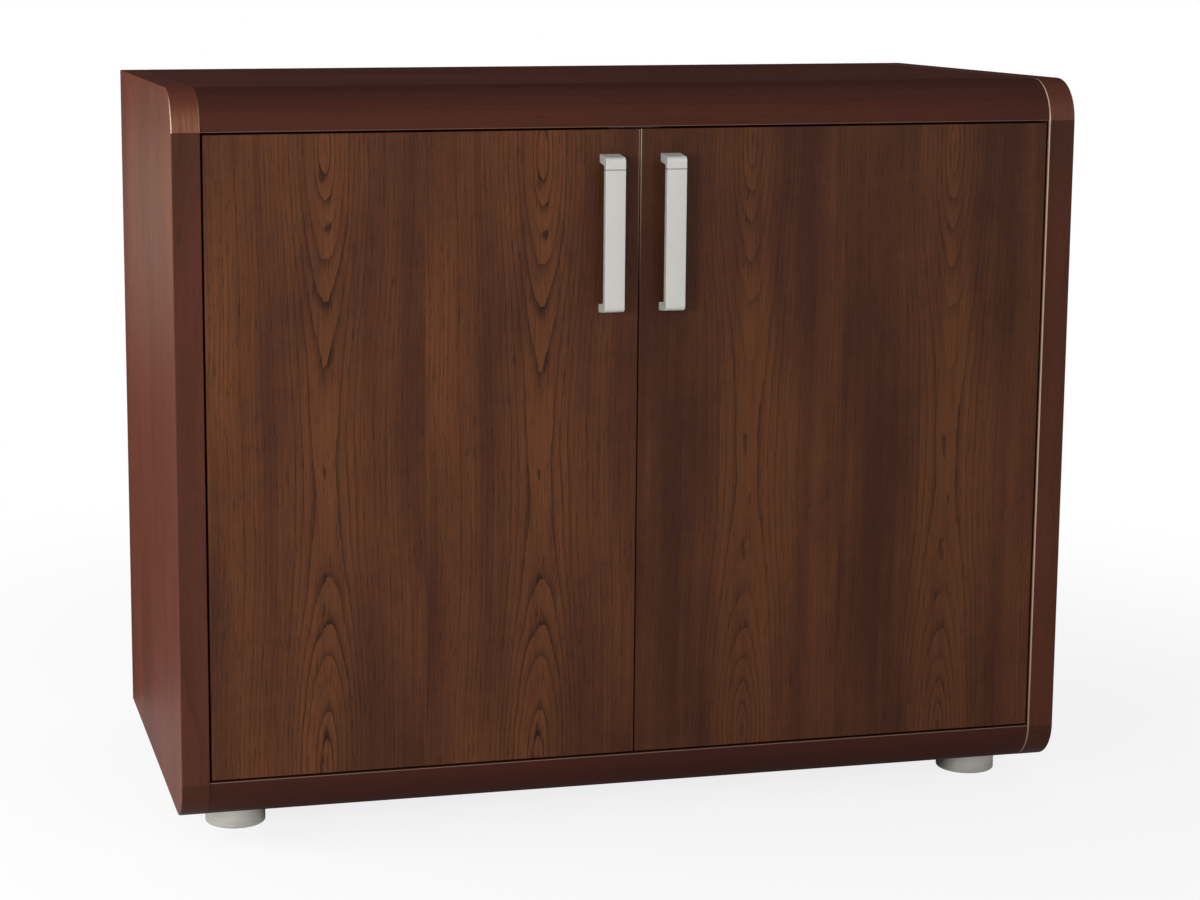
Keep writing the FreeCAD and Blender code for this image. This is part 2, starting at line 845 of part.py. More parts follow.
def cup_screw(tag, level, step, purpose):
    """A wood screw through the cup's flange into the door."""
    start = (cup_screw_x, door_back + "flange_thickness", level + step * size("cup_screw_spacing"))
    shaft = cylinder(f"cup_screw_{purpose}_{tag}", start, "-y", "cup_screw_radius",
                     size("cup_screw_length") + "flange_thickness")
    if purpose != "fit":
        return shaft
    head = cylinder(f"cup_screw_head_{tag}", start, "+y", "cup_screw_head_radius", "cup_screw_head")
    return fuse(f"cup_screw_{tag}", [shaft, head])


def cup_screws(end, level, purpose):
    return [cup_screw(f"{end}_{number}", level, step, purpose)
            for number, step in enumerate(BOTH_SIDES)]


def hinge_cup(end, level):
    """A pressed cup with a flange whose wings take the two screws."""
    outer = size("cup_radius") - "cup_fit"
    shell = cylinder(f"cup_shell_{end}", (cup_x, door_back, level), "-y", outer, "cup_depth")
    flange_corner = (door_left + "flange_start", door_back, level - size("flange_height") / 2)
    flange = box(f"cup_flange_{end}", flange_corner, ("flange_width", "flange_thickness", "flange_height"))
    hollow = cylinder(f"cup_hollow_{end}", (cup_x, door_back + "flange_thickness", level), "-y",
                      size("cup_radius") - "cup_wall", size("cup_depth") + "flange_thickness" - "cup_wall")
    return cut(f"cup_{end}", fuse(f"cup_body_{end}", [shell, flange]),
               [hollow] + cup_screws(end, level, "flange_hole"))


def hinge_link(end, level):
    """A bent strip with an eye at the arm's pin."""
    points = [Vector((door_left + inset).value, (door_back + back).value, 0) for inset, back in link_line]
    strip = doc.addObject("Part::Polygon", f"link_line_{end}")
    strip.Nodes = [point - points[0] for point in points]
    strip.Close = False
    band = doc.addObject("Part::Offset2D", f"link_band_{end}")
    band.Source = strip
    bind(band, "Value", "link_half_thickness")
    band.Fill = True
    push = doc.addObject("Part::Extrusion", f"link_strip_{end}")
    push.Base = band
    push.DirMode = "Custom"
    push.Dir = Vector(0, 0, 1)
    bind(push, "LengthFwd", "link_width")
    push.Solid = True
    under = level - size("link_width") / 2
    place(push, (link_x, link_y, under))
    eye = cylinder(f"link_eye_{end}", (link_x, link_y, under), "+z", "link_eye_radius", "link_width")
    bore = cylinder(f"link_bore_{end}", (link_x, link_y, under), "+z",
                    size("link_pin_radius") + "link_pin_fit", "link_width")
    return cut(f"link_{end}", fuse(f"link_body_{end}", [push, eye]), [bore])


def hinge_arm(end, level):
    """A channel on the plate whose two cheeks hold the link's pin."""
    front = door_back + "arm_front_gap"
    under = inner_left + "plate_thickness"
    seat = under + "plate_riser"
    half = size("link_width") / 2 + "arm_side_gap"
    width = 2 * (half + "arm_cheek")
    back_start = front + "arm_cheek_length"
    back = box(f"arm_back_{end}", (seat, back_start, level - width / 2),
               ("arm_height", size("arm_length") - "arm_cheek_length", width))
    cheeks = [
        box(f"arm_cheek_{end}_{number}", (under, front, cheek_level),
            (size("plate_riser") + "arm_height", "arm_cheek_length", "arm_cheek"))
        for number, cheek_level in enumerate((level - width / 2, level + half))
    ]
    lugs = [
        box(f"arm_lug_{end}_{number}", (seat, back_start - "arm_cheek", cheek_level),
            ("arm_height", 2 * size("arm_cheek"), "arm_cheek"))
        for number, cheek_level in enumerate((level - width / 2, level + half))
    ]
    pin = cylinder(f"arm_pin_{end}", (link_x, link_y, level - width / 2), "+z", "link_pin_radius", width)
    return fuse(f"arm_{end}", [back, pin] + cheeks + lugs)


def hinge_plate(end, level):
    """The plate on the side panel, with a riser that the arm sits on."""
    length, height = size("plate_length"), size("plate_height")
    foot = box(f"plate_foot_{end}", (inner_left, plate_y - length / 2, level - height / 2),
               ("plate_thickness", length, height))
    riser_width = 2 * (size("link_width") / 2 + "arm_side_gap" + "arm_cheek")
    riser = box(f"plate_riser_{end}", (inner_left + "plate_thickness", plate_y - length / 2,
                                       level - riser_width / 2), ("plate_riser", length, riser_width))
    holes = []
    for number, step in enumerate(BOTH_SIDES):
        height_here = level + step * size("plate_screw_spacing")
        holes.append(cylinder(f"plate_hole_{end}_{number}", (inner_left, plate_y, height_here), "+x",
                              "plate_screw_radius", "plate_thickness"))
    return cut(f"plate_{end}", fuse(f"plate_body_{end}", [foot, riser]), holes)


def plate_screws(end, level):
    screws = []
    for number, shaft in enumerate(plate_screw_shafts(f"fit_{end}", level)):
        height_here = level + BOTH_SIDES[number] * size("plate_screw_spacing")
        neck = cylinder(f"plate_screw_neck_{end}_{number}", (inner_left, plate_y, height_here), "+x",
                        "plate_screw_radius", "plate_thickness")
        head = cylinder(f"plate_screw_head_{end}_{number}",
                        (inner_left + "plate_thickness", plate_y, height_here), "+x",
                        "plate_screw_head_radius", "plate_screw_head")
        screws.append(fuse(f"plate_screw_{end}_{number}", [shaft, neck, head]))
    return screws


left_plate_screws, left_cup_screws = [], []
for end, level in hinge_levels.items():
    keep_pair(f"{end}_hinge_cup", hinge_cup(end, level))
    keep_pair(f"{end}_hinge_link", hinge_link(end, level))
    keep_pair(f"{end}_hinge_arm", hinge_arm(end, level))
    keep_pair(f"{end}_hinge_plate", hinge_plate(end, level))
    left_plate_screws += plate_screws(end, level)
    left_cup_screws += cup_screws(end, level, "fit")
keep_pair("hinge_cup_screws", group("hinge_cup_screws", left_cup_screws))
left_group = group("left_plate_screws", left_plate_screws)
keep("hinge_plate_screws", group("hinge_plate_screws",
                                 [left_group, mirrored("right_plate_screws", left_group, (1, 0, 0))]))

# ---------------------------------------------------------------------------------------------
# Doors
# ---------------------------------------------------------------------------------------------


def door():
    """A veneered board with softened edges, bored for its cups, screws and handle."""
    width, height = door_width, door_height
    steps = [("line", width, 0), ("line", width, height), ("line", 0, height), ("line", 0, 0)]
    body = padded("door_board", "XZ_Plane", (0, 0), steps, "door_thickness",
                  (door_left, door_back, door_bottom))
    eased(body, "door_edge_round", lambda edge: True)
    tools = [handle_screw(end, "door_hole") for end in handle_screw_levels]
    for end, level in hinge_levels.items():
        tools.append(cylinder(f"cup_bore_{end}", (cup_x, door_back, level), "-y", "cup_radius", "cup_depth"))
        tools += cup_screws(end, level, "door_hole")
    return cut("door_drilled", body, tools)


keep_pair("door", door())

# ---------------------------------------------------------------------------------------------
# Check the document, then write one STEP file for each piece
# ---------------------------------------------------------------------------------------------

doc.recompute()
for item in doc.Objects:
    if "Invalid" in item.State or "Error" in item.State:
        raise RuntimeError(f"{item.Name} did not recompute: {item.State}")
for name, thing in nodes.items():
    if thing.Shape.isNull() or not thing.Shape.isValid() or not thing.Shape.Solids:
        raise RuntimeError(f"{name} has no sound shape")

os.makedirs("parts", exist_ok=True)
for name, thing in nodes.items():
    thing.Shape.exportStep(f"parts/{name}.step")
print(len(nodes), "pieces written")
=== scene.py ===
"""Office credenza in dark stained veneer.

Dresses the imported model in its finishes, adds the fine fittings, and sets up studio and camera.
"""

import math

import bmesh
import bpy
from mathutils import Matrix, Vector


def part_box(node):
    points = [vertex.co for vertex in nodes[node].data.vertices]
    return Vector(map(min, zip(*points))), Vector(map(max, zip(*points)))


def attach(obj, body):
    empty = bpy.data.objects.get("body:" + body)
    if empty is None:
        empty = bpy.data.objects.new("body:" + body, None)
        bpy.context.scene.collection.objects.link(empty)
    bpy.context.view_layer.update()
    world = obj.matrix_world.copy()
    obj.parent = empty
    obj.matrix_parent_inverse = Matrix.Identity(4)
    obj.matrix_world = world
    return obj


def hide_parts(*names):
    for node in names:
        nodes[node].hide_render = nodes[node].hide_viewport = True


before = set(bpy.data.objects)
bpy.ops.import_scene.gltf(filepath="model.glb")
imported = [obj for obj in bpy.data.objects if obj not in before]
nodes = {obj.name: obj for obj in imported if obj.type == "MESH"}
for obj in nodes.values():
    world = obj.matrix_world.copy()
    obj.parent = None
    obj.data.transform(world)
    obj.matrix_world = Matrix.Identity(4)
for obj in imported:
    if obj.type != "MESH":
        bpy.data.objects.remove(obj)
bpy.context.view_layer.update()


# ---------------------------------------------------------------------------------------------
# Side panels
# Particle board, 30 mm thick, with crown-cut ash veneer on both faces, its grain upright.
# A veneer edge band is bent round the two front corners, and the whole board is stained dark
# brown and sprayed with a satin lacquer that leaves the pores open.
# ---------------------------------------------------------------------------------------------

class Wire:
    """A socket in a material; sums and products of wires add the Math nodes that work them out."""

    def __init__(self, tree, socket):
        self.tree = tree
        self.socket = socket

    def node(self, kind, settings, values, output=0):
        """Adds a node of a kind, set up first and then fed, and returns one of its outputs."""
        made = self.tree.nodes.new(kind)
        for name, setting in settings.items():
            setattr(made, name, setting)
        for name, value in values.items():
            if isinstance(value, Wire):
                self.tree.links.new(value.socket, made.inputs[name])
            else:
                made.inputs[name].default_value = value
        return Wire(self.tree, made.outputs[output])

    def math(self, operation, *others):
        values = dict(enumerate((self, *others)))
        return self.node("ShaderNodeMath", {"operation": operation}, values)

    def __add__(self, other):
        return self.math("ADD", other)

    def __sub__(self, other):
        return self.math("SUBTRACT", other)

    def __mul__(self, other):
        return self.math("MULTIPLY", other)

    def __truediv__(self, other):
        return self.math("DIVIDE", other)

    def __pow__(self, other):
        return self.math("POWER", other)

    def __rsub__(self, other):
        return self.node("ShaderNodeMath", {"operation": "SUBTRACT"}, {0: other, 1: self})

    __radd__ = __add__


def stain(red, green, blue):
    """A finish colour from its 0 to 255 screen values."""
    levels = []
    for value in (red, green, blue):
        share = value / 255
        levels.append(share / 12.92 if share <= 0.04045 else ((share + 0.055) / 1.055) ** 2.4)
    return (*levels, 1)


def new_finish(name):
    """An empty material with its surface shader, and the three coordinates of the piece."""
    finish = bpy.data.materials.new(name)
    finish.use_nodes = True
    tree = finish.node_tree
    tree.nodes.clear()
    output = tree.nodes.new("ShaderNodeOutputMaterial")
    surface = tree.nodes.new("ShaderNodeBsdfPrincipled")
    tree.links.new(surface.outputs[0], output.inputs["Surface"])
    place = Wire(tree, tree.nodes.new("ShaderNodeTexCoord").outputs["Object"])
    parts = [place.node("ShaderNodeSeparateXYZ", {}, {0: place}, axis) for axis in range(3)]
    return finish, surface, parts


def feed(surface, socket, value):
    """Gives a socket of the surface a wire or a fixed value."""
    if isinstance(value, Wire):
        value.tree.links.new(value.socket, surface.inputs[socket])
    else:
        surface.inputs[socket].default_value = value


def roughen(surface, height, strength, distance):
    """Lets a height wire tilt the light on the surface."""
    values = {"Strength": strength, "Distance": distance, "Height": height}
    feed(surface, "Normal", height.node("ShaderNodeBump", {}, values))


def noise(across, through, along, scale=1.0, detail=2.0):
    """Noise over three coordinates that are already stretched to the grain."""
    point = along.node("ShaderNodeCombineXYZ", {}, {0: across, 1: through, 2: along})
    values = {"Vector": point, "Scale": scale, "Detail": detail}
    return along.node("ShaderNodeTexNoise", {"noise_dimensions": "3D"}, values, "Fac")


def rise(value, low, high):
    """0 below low, 1 above high, with a smooth slope between them."""
    settings = {"interpolation_type": "SMOOTHSTEP"}
    return value.node("ShaderNodeMapRange", settings, {0: value, 1: low, 2: high, 3: 0.0, 4: 1.0})


def blended(share, first, second):
    """One colour into another by a share."""
    return share.node("ShaderNodeMix", {"data_type": "RGBA"}, {0: share, 6: first, 7: second}, 2)


def lay_over(surface, share, colour):
    """Lays a colour over the surface's own, by a share."""
    under = Wire(share.tree, surface.inputs["Base Color"].links[0].from_socket)
    feed(surface, "Base Color", blended(share, under, colour))


def near(distance, reach):
    """1 on a face or a line, and 0 from reach on."""
    return 1 - rise(distance, reach * 0.3, reach)


def wear_and_glint_edge(surface, wear_and_glint_share):
    """An edge painted paler, its lacquer glossed: painted glints on case and doors, sanding wear on
    the shelf.
    """
    lay_over(surface, wear_and_glint_share, WEAR_AND_GLINT)
    feed(surface, "Coat Weight", wear_and_glint_share)
    feed(surface, "Coat Roughness", RUBBED_ROUGHNESS)


VENEER_TONES = {
    "pale": stain(92, 53, 29),
    "deep": stain(61, 32, 20),
    "line": stain(30, 17, 12),
    "pore": stain(24, 13, 10),
}
WEAR_AND_GLINT = stain(182, 156, 134)
RUBBED_ROUGHNESS = 0.22
LEAF_STEP = 0.013
SLICE_STEP = 0.06
DRIFT = 0.014
SWELL = 0.006
FLANK = (0.012, 0.062)
CORE = (0.003, 0.013)
MARKED = (0.004, 0.013)
PORE_RELIEF = 0.00015


def veneer(name, grain, board, leaf, first, tones=VENEER_TONES, aside=0.009, middle=0.385,
           heart=0.043, bow=(0.38, 0.26), ring=0.0052, contrast=1.0, shine=0.10, seed=0.0):
    """Crown-cut wood under satin lacquer.

    grain names the axes across the leaves, through the board and along the grain, and board is
    where the board's middle lies on the second one. leaf is the width of one leaf of veneer and
    first the edge of the first leaf. The trunk's middle lies aside from each leaf's middle line
    and, at the height middle, heart behind its face. bow is how fast it comes closer below and
    above, which closes the rings into arches. ring is one year's growth, contrast the strength
    of the figure, and shine the reflection of the lacquer.
    """
    finish, surface, parts = new_finish(name)
    across, through, along = (parts["XYZ".index(axis)] for axis in grain)
    through = through - board

    # Leaves lie side by side, and each shows nearly the figure of the one before, a step lower.
    number = ((across - first) / leaf).math("FLOOR")
    lateral = across - first - (number + 0.5) * leaf - aside
    height = along - middle + number * LEAF_STEP
    slice_depth = number * SLICE_STEP + seed
    drift = noise(slice_depth, 0.0, height * 2.4 + seed, detail=1.0)
    lateral = lateral + (drift - 0.5) * DRIFT
    swell = noise(slice_depth + 7.3, 0.0, height * 4.0 + seed, detail=2.0)
    below = height.math("MINIMUM", 0.0)
    above = height.math("MAXIMUM", 0.0)
    taper = below * below * bow[0] + above * above * bow[1]
    depth = heart - taper + through + (swell - 0.5) * SWELL

    # Growth rings: distance from the middle of the trunk, made uneven in two sizes.
    radius = (lateral * lateral + depth * depth) ** 0.5
    wide = noise(lateral * 12, slice_depth, height * 3.0, detail=2.0)
    fine = noise(lateral * 90, slice_depth + through * 90, height * 12, detail=3.0)
    count = radius / ring + (wide - 0.5) * 1.5 + (fine - 0.5) * 0.7
    year = count.math("FLOOR")
    late = count - year
    strength = year.node("ShaderNodeTexWhiteNoise", {"noise_dimensions": "1D"}, {"W": year + seed})
    off_middle = lateral.math("ABSOLUTE")
    flank = rise(off_middle, *FLANK)
    early = (1 - late) ** 3.4 * (strength * 0.75 + 0.25) * (1 - flank * 0.5)

    # Open pores: short dark dashes along the grain, crowded in each year's first wood.
    dashes = noise(lateral * 1500, slice_depth + through * 1500, height * 50, detail=1.0)
    fibres = noise(lateral * 620, slice_depth + through * 620, height * 11, detail=3.0)
    pores = rise(dashes + early * 0.14, 0.60, 0.76)

    # Broader changes of tone, and dark mineral marks where the arches cross the middle line.
    streak = noise(lateral * 46, slice_depth + through * 46, height * 1.5, detail=3.0)
    cloud = noise(lateral * 8, slice_depth + 1.7, height * 3.2, detail=4.0)
    mottle = noise(lateral * 60, slice_depth + 9.0, height * 60, detail=2.0)
    flecks = noise(lateral * 110, slice_depth + 4.0, height * 24, detail=3.0)
    marks = rise(flecks + early * 0.15, 0.62, 0.70) * (1 - rise(off_middle, *MARKED))

    core = 1 - rise(off_middle, *CORE)
    light = rise(cloud * 0.6 + streak * 0.4 + core * 0.08 - flank * 0.09 + (mottle - 0.5) * 0.10,
                 0.26, 0.60)
    ground = blended(light, tones["deep"], tones["pale"])
    lined = blended(early * (0.95 * contrast), ground, tones["line"])
    pored = blended(pores * (0.75 * contrast), lined, tones["pore"])
    toned = blended(rise(fibres, 0.38, 0.72) * (0.42 * contrast), pored, tones["deep"])
    feed(surface, "Base Color", blended(marks * (0.7 * contrast), toned, tones["pore"]))

    feed(surface, "Roughness", 0.44 + fibres * 0.10 + pores * 0.15)
    feed(surface, "Specular IOR Level", shine)
    relief = pores * -0.7 - early * 0.3 + fibres * 0.25
    roughen(surface, relief, strength=0.35, distance=PORE_RELIEF)
    return finish, surface, parts


def dress(finish, *names):
    """Gives CAD nodes their finish."""
    for name in names:
        for slot in nodes[name].material_slots:
            slot.material = finish


CASE_TONES = {
    "pale": stain(91, 47, 34),
    "deep": stain(76, 39, 29),
    "line": stain(42, 23, 18),
    "pore": stain(34, 19, 15),
}
CASE_LEAF = 0.6
CASE_HEART = 0.12
CASE_RING = 0.006
LEAF_OVERHANG = 0.05
CORNER_RADIUS = 0.045
SIDE_SEEDS = {"left": 4.0, "right": 12.0}
BENT_BAND_AND_HIGHLIGHT = stain(132, 90, 68)
BAND_SHADE = stain(44, 29, 18)
BAND_THICKNESS = 0.0008
BAND_JOINT = 0.0006
BENT_HIGHLIGHT_SHARES = {"left": 0.9, "right": 0.3}
ARRIS_GLINT_REACH = 0.0014
INNER_GLINT_REACH = 0.004

for side, seed in SIDE_SEEDS.items():
    low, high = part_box(f"{side}_side_panel")
    finish, surface, (x, y, z) = veneer(
        f"{side}_side_veneer", "YXZ", board=(low.x + high.x) / 2, leaf=CASE_LEAF,
        first=low.y - LEAF_OVERHANG, tones=CASE_TONES, aside=0.35, heart=CASE_HEART,
        ring=CASE_RING, contrast=0.8, shine=0.07, seed=seed)

    # The board's outline: straight, with two round front corners.
    forward = (low.y + CORNER_RADIUS) - y
    above = z - (high.z - CORNER_RADIUS)
    below = (low.z + CORNER_RADIUS) - z
    sideways = forward.math("MAXIMUM", 0.0)
    upward = above.math("MAXIMUM", below).math("MAXIMUM", 0.0)
    inside = CORNER_RADIUS - (sideways * sideways + upward * upward) ** 0.5

    # The edge band: paler where it turns into the upper corner, a paler leaf under painted
    # highlight, strongest on the left; darker on the straight front below, and painted shade round
    # the lower corner.
    on_band = near(inside, BAND_THICKNESS) * rise(forward, 0.0, BAND_JOINT)
    in_corner = on_band * rise(above, 0.0, BAND_JOINT)
    streaks = noise(x * 420, y * 60, z * 14, detail=2.0)
    low_half = 1 - rise(above, 0.008, 0.034)
    lay_over(surface, in_corner * low_half * streaks * BENT_HIGHLIGHT_SHARES[side], BENT_BAND_AND_HIGHLIGHT)
    lay_over(surface, (on_band - in_corner) * (rise(above, -0.16, 0.0) * 0.3 + 0.3), BAND_SHADE)
    # Painted shade round the lower corner, which faces down.
    lay_over(surface, on_band * rise(below, 0.0, 0.002) * 0.45, BAND_SHADE)

    # Painted glints, pale with a glossier coat: on both arrises of the upper corner,
    # and on the right panel's whole inner arris.
    inner_face, outer_face = (high.x, low.x) if side == "left" else (low.x, high.x)
    on_curve = rise(above, -0.001, 0.001) * (1 - rise(above, 0.022, 0.042))
    inner_glint = near(inside, INNER_GLINT_REACH) * near((x - inner_face).math("ABSOLUTE"), ARRIS_GLINT_REACH)
    outer_glint = near(inside, ARRIS_GLINT_REACH) * near((x - outer_face).math("ABSOLUTE"), ARRIS_GLINT_REACH)
    inner_share = on_curve * 0.35 if side == "left" else rise(z, -0.2, 0.3) * 0.9
    wear_and_glint_edge(surface, (inner_glint * inner_share).math("MAXIMUM", outer_glint * on_curve * 0.8))
    dress(finish, f"{side}_side_panel")


# ---------------------------------------------------------------------------------------------
# Top and bottom panels
# The same board, 45 mm thick, between the sides, its grain from side to side. A separate leaf
# of slightly darker veneer is pressed round the quarter-round nose, and its joint shows as a
# thin line where the flat face ends.
# ---------------------------------------------------------------------------------------------

NOSE_REACH = 0.043
NOSE_LEAF_AND_SHADE = stain(50, 26, 20)
NOSE_JOINT = stain(128, 84, 62)
NOSE_JOINT_REACH = 0.0009
BOARD_SEEDS = {"top": 9.0, "bottom": 15.0}
NOSE_GLINT_REACH = 0.0012
NOSE_GLINT_SHARES = {"top": 0.12, "bottom": 0.25}


def darker(tones, share):
    """The same tones darkened by a share, as painted shade."""
    return {name: (*(level * share for level in tone[:3]), 1) for name, tone in tones.items()}


for board, seed in BOARD_SEEDS.items():
    low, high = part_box(f"{board}_panel")
    # Both boards take the case's tones darkened, as painted shade.
    finish, surface, (x, y, z) = veneer(
        f"{board}_veneer", "YZX", board=(low.z + high.z) / 2, leaf=CASE_LEAF,
        first=low.y + NOSE_REACH - CASE_LEAF, tones=darker(CASE_TONES, 0.8), aside=0.3, middle=0.1,
        heart=CASE_HEART, bow=(0.04, 0.05), ring=CASE_RING, contrast=0.6, shine=0.05, seed=seed)
    past_joint = y - (low.y + NOSE_REACH)
    # The nose leaf is darker veneer; its share rising toward the top of the top's nose, and the
    # larger share on the bottom board, are painted shade.
    nose_leaf_and_shade_share = rise(z, low.z + 0.010, high.z - 0.005) * 0.4 + 0.4 if board == "top" else 0.7
    lay_over(surface, (1 - rise(past_joint, -0.0004, 0.0)) * nose_leaf_and_shade_share, NOSE_LEAF_AND_SHADE)
    lay_over(surface, near(past_joint.math("ABSOLUTE"), NOSE_JOINT_REACH) * 0.5, NOSE_JOINT)

    # The arris toward the doors gets a painted glint and a glossier coat.
    arris_level = low.z if board == "top" else high.z
    wear_and_glint_share = near(y - low.y, NOSE_GLINT_REACH) * near((z - arris_level).math("ABSOLUTE"), NOSE_GLINT_REACH)
    wear_and_glint_edge(surface, wear_and_glint_share * NOSE_GLINT_SHARES[board])
    dress(finish, f"{board}_panel")


# ---------------------------------------------------------------------------------------------
# Shelf
# A 22 mm board, veneered on both faces with two leaves whose grain runs from side to side, and
# edged at the front. It lies loose on its four pins, and its arrises are lightly sanded.
# ---------------------------------------------------------------------------------------------

LEAF_SPARE = 0.0005
SANDED = 0.001


def within(value, low, high):
    """How far a coordinate is inside the nearer of two limits."""
    return (value - low).math("MINIMUM", high - value)


low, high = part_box("shelf")
finish, surface, (x, y, z) = veneer(
    "shelf_veneer", "YZX", board=(low.z + high.z) / 2, leaf=(high.y - low.y) / 2 + LEAF_SPARE,
    first=low.y - LEAF_SPARE, middle=0.1, bow=(0.08, 0.08), contrast=0.5, seed=2.0)
wear_and_glint_edge(surface, near(within(y, low.y, high.y), SANDED) * near(within(z, low.z, high.z), SANDED) * 0.3)
dress(finish, "shelf")


# ---------------------------------------------------------------------------------------------
# Back panel
# A 6 mm board that slides into grooves of the sides and of the top and bottom panels. It is
# faced with four upright leaves of the same stained veneer.
# ---------------------------------------------------------------------------------------------

BACK_LEAVES = 4

low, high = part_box("back_panel")
finish, _, _ = veneer(
    "back_veneer", "XYZ", board=(low.y + high.y) / 2,
    leaf=(high.x - low.x) / BACK_LEAVES + LEAF_SPARE, first=low.x - LEAF_SPARE, contrast=0.5,
    seed=20.0)
dress(finish, "back_panel")


# ---------------------------------------------------------------------------------------------
# Doors
# 18 mm boards with two neighbouring leaves of crown-cut veneer each, upright, so that every
# door shows its arches twice. Edge-banded, softened by sanding, stained and lacquered.
# ---------------------------------------------------------------------------------------------

SIDES = ("left", "right")
DOOR_SEEDS = {"left": 1.0, "right": 6.0}
DOOR_CONTRASTS = {"left": 1.0, "right": 0.7}
# The right door's tones are darkened, as painted shade, for it stands further from the lamps.
DOOR_TONES = {"left": VENEER_TONES, "right": darker(VENEER_TONES, 0.86)}
MEETING_GLINT_REACH = 0.0012
MEETING_GLINT_DEPTH = 0.007
MEETING_GLINT_HEIGHTS = (0.56, 0.76)

for side in SIDES:
    low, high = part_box(f"{side}_door")
    finish, surface, (x, y, z) = veneer(
        f"{side}_door_veneer", "XYZ", board=(low.y + high.y) / 2,
        leaf=(high.x - low.x) / 2 + LEAF_SPARE, first=low.x - LEAF_SPARE,
        tones=DOOR_TONES[side], contrast=DOOR_CONTRASTS[side], seed=DOOR_SEEDS[side])

    # A painted glint, with a glossier coat, along the upper part of the meeting edge.
    meeting_face = high.x if side == "left" else low.x
    wear_and_glint_share = near((x - meeting_face).math("ABSOLUTE"), MEETING_GLINT_REACH) * near(y - low.y, MEETING_GLINT_DEPTH)
    wear_and_glint_edge(surface, wear_and_glint_share * rise(z, *MEETING_GLINT_HEIGHTS) * 0.6)
    dress(finish, f"{side}_door")


# ---------------------------------------------------------------------------------------------
# Shelf pins
# Four turned steel pins, zinc plated, pushed into 5 mm holes. Each has a collar against the
# panel, a groove beside the collar and a broken edge at its end.
# ---------------------------------------------------------------------------------------------

def specks(parts, fineness, detail=2.0):
    """Noise of the same fineness in every direction."""
    x, y, z = parts
    return noise(x * fineness, y * fineness, z * fineness, detail=detail)


def plated_steel(name, dull, bright, roughness, speck=900.0):
    """Plated or cast metal with a fine grain in its tone and its gloss."""
    finish, surface, parts = new_finish(name)
    grain = specks(parts, speck, detail=3.0)
    cloud = specks(parts, 60)
    feed(surface, "Base Color", blended(grain * 0.5 + cloud * 0.5, dull, bright))
    feed(surface, "Roughness", roughness + (grain - 0.5) * 0.06 + (cloud - 0.5) * 0.12)
    feed(surface, "Metallic", 1.0)
    roughen(surface, grain, strength=0.15, distance=0.00002)
    return finish


def cross(reach, half):
    """The outline of a cross-shaped driver hole."""
    corners = [(reach, -half), (reach, half), (half, half)]
    turns = [Matrix.Rotation(quarter * math.pi / 2, 2) for quarter in range(4)]
    return [turn @ Vector(corner) for turn in turns for corner in corners]


def hexagon(reach):
    """The outline of a hexagon socket."""
    turns = [sixth * math.pi / 3 for sixth in range(6)]
    return [Vector((math.cos(turn), math.sin(turn))) * reach for turn in turns]


WELD_REACH = 1e-6
SHARP_ANGLE = math.radians(32)


def finished(mesh):
    """Welds a part, turns its faces outward and gives it as mesh data."""
    bmesh.ops.remove_doubles(mesh, verts=mesh.verts, dist=WELD_REACH)
    bmesh.ops.recalc_face_normals(mesh, faces=mesh.faces)
    part = bpy.data.meshes.new("part")
    mesh.to_mesh(part)
    mesh.free()
    return part


def turned(profile, recess=(), depth=0.0, taper=1.0, steps=32):
    """A part turned about its own z axis from (radius, height) pairs.

    recess is the outline of a driver hole in its top, which narrows by taper over its depth.
    """
    mesh = bmesh.new()
    points = [mesh.verts.new((radius, 0, height)) for radius, height in profile]
    lines = [mesh.edges.new(pair) for pair in zip(points, points[1:])]
    bmesh.ops.spin(mesh, geom=points + lines, axis=(0, 0, 1), cent=(0, 0, 0), angle=math.tau,
                   steps=steps, use_merge=True)
    bmesh.ops.remove_doubles(mesh, verts=mesh.verts, dist=WELD_REACH)
    if recess:
        rim = [edge for edge in mesh.edges if edge.is_boundary]
        top = profile[-1][1]
        corners = [mesh.verts.new((corner.x, corner.y, top)) for corner in recess]
        mouth = [mesh.edges.new(pair) for pair in zip(corners, corners[1:] + corners[:1])]
        bmesh.ops.bridge_loops(mesh, edges=rim + mouth)
        bmesh.ops.extrude_edge_only(mesh, edges=mouth)
        base = [edge for edge in mesh.edges if edge.is_boundary]
        low_points = list({point for edge in base for point in edge.verts})
        bmesh.ops.scale(mesh, vec=(taper, taper, 1), verts=low_points)
        bmesh.ops.translate(mesh, vec=(0, 0, -depth), verts=low_points)
        bmesh.ops.contextual_create(mesh, geom=base)
    return finished(mesh)


def standing(place, outward):
    """Stands a part's z axis along outward, with its origin at a place."""
    turn = Vector(outward).to_track_quat("Z", "Y").to_matrix().to_4x4()
    return Matrix.Translation(place) @ turn


def gather(name, body, slot, finish, parts, *replaced):
    """One piece of several parts: pairs of mesh data and the placements it stands in."""
    whole = bmesh.new()
    for part, stands in parts:
        for stand in stands:
            placed = part.copy()
            placed.transform(stand)
            whole.from_mesh(placed)
            bpy.data.meshes.remove(placed)
    data = bpy.data.meshes.new(name)
    whole.to_mesh(data)
    whole.free()
    data.shade_smooth()
    data.set_sharp_from_angle(angle=SHARP_ANGLE)
    data.materials.append(finish)
    piece = bpy.data.objects.new(name, data)
    bpy.context.scene.collection.objects.link(piece)
    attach(piece, body)
    if replaced:
        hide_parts(*replaced)


zinc = plated_steel("zinc_plating", dull=stain(168, 172, 178), bright=stain(205, 208, 210),
                    roughness=0.33)


def gather_steel(name, body, part, stands, *replaced):
    """One piece of like steel fittings, one in each placement."""
    gather(name, body, "zinc_plated_steel", zinc, [(part, stands)], *replaced)


PIN_HEAD = 0.0035
PIN_STEM = 0.0025
PIN_DEPTH = 0.008
PIN_REACH = 0.009
PIN_BREAK = 0.0005
PIN_COLLAR = 0.0012
PIN_GROOVE = 0.0004

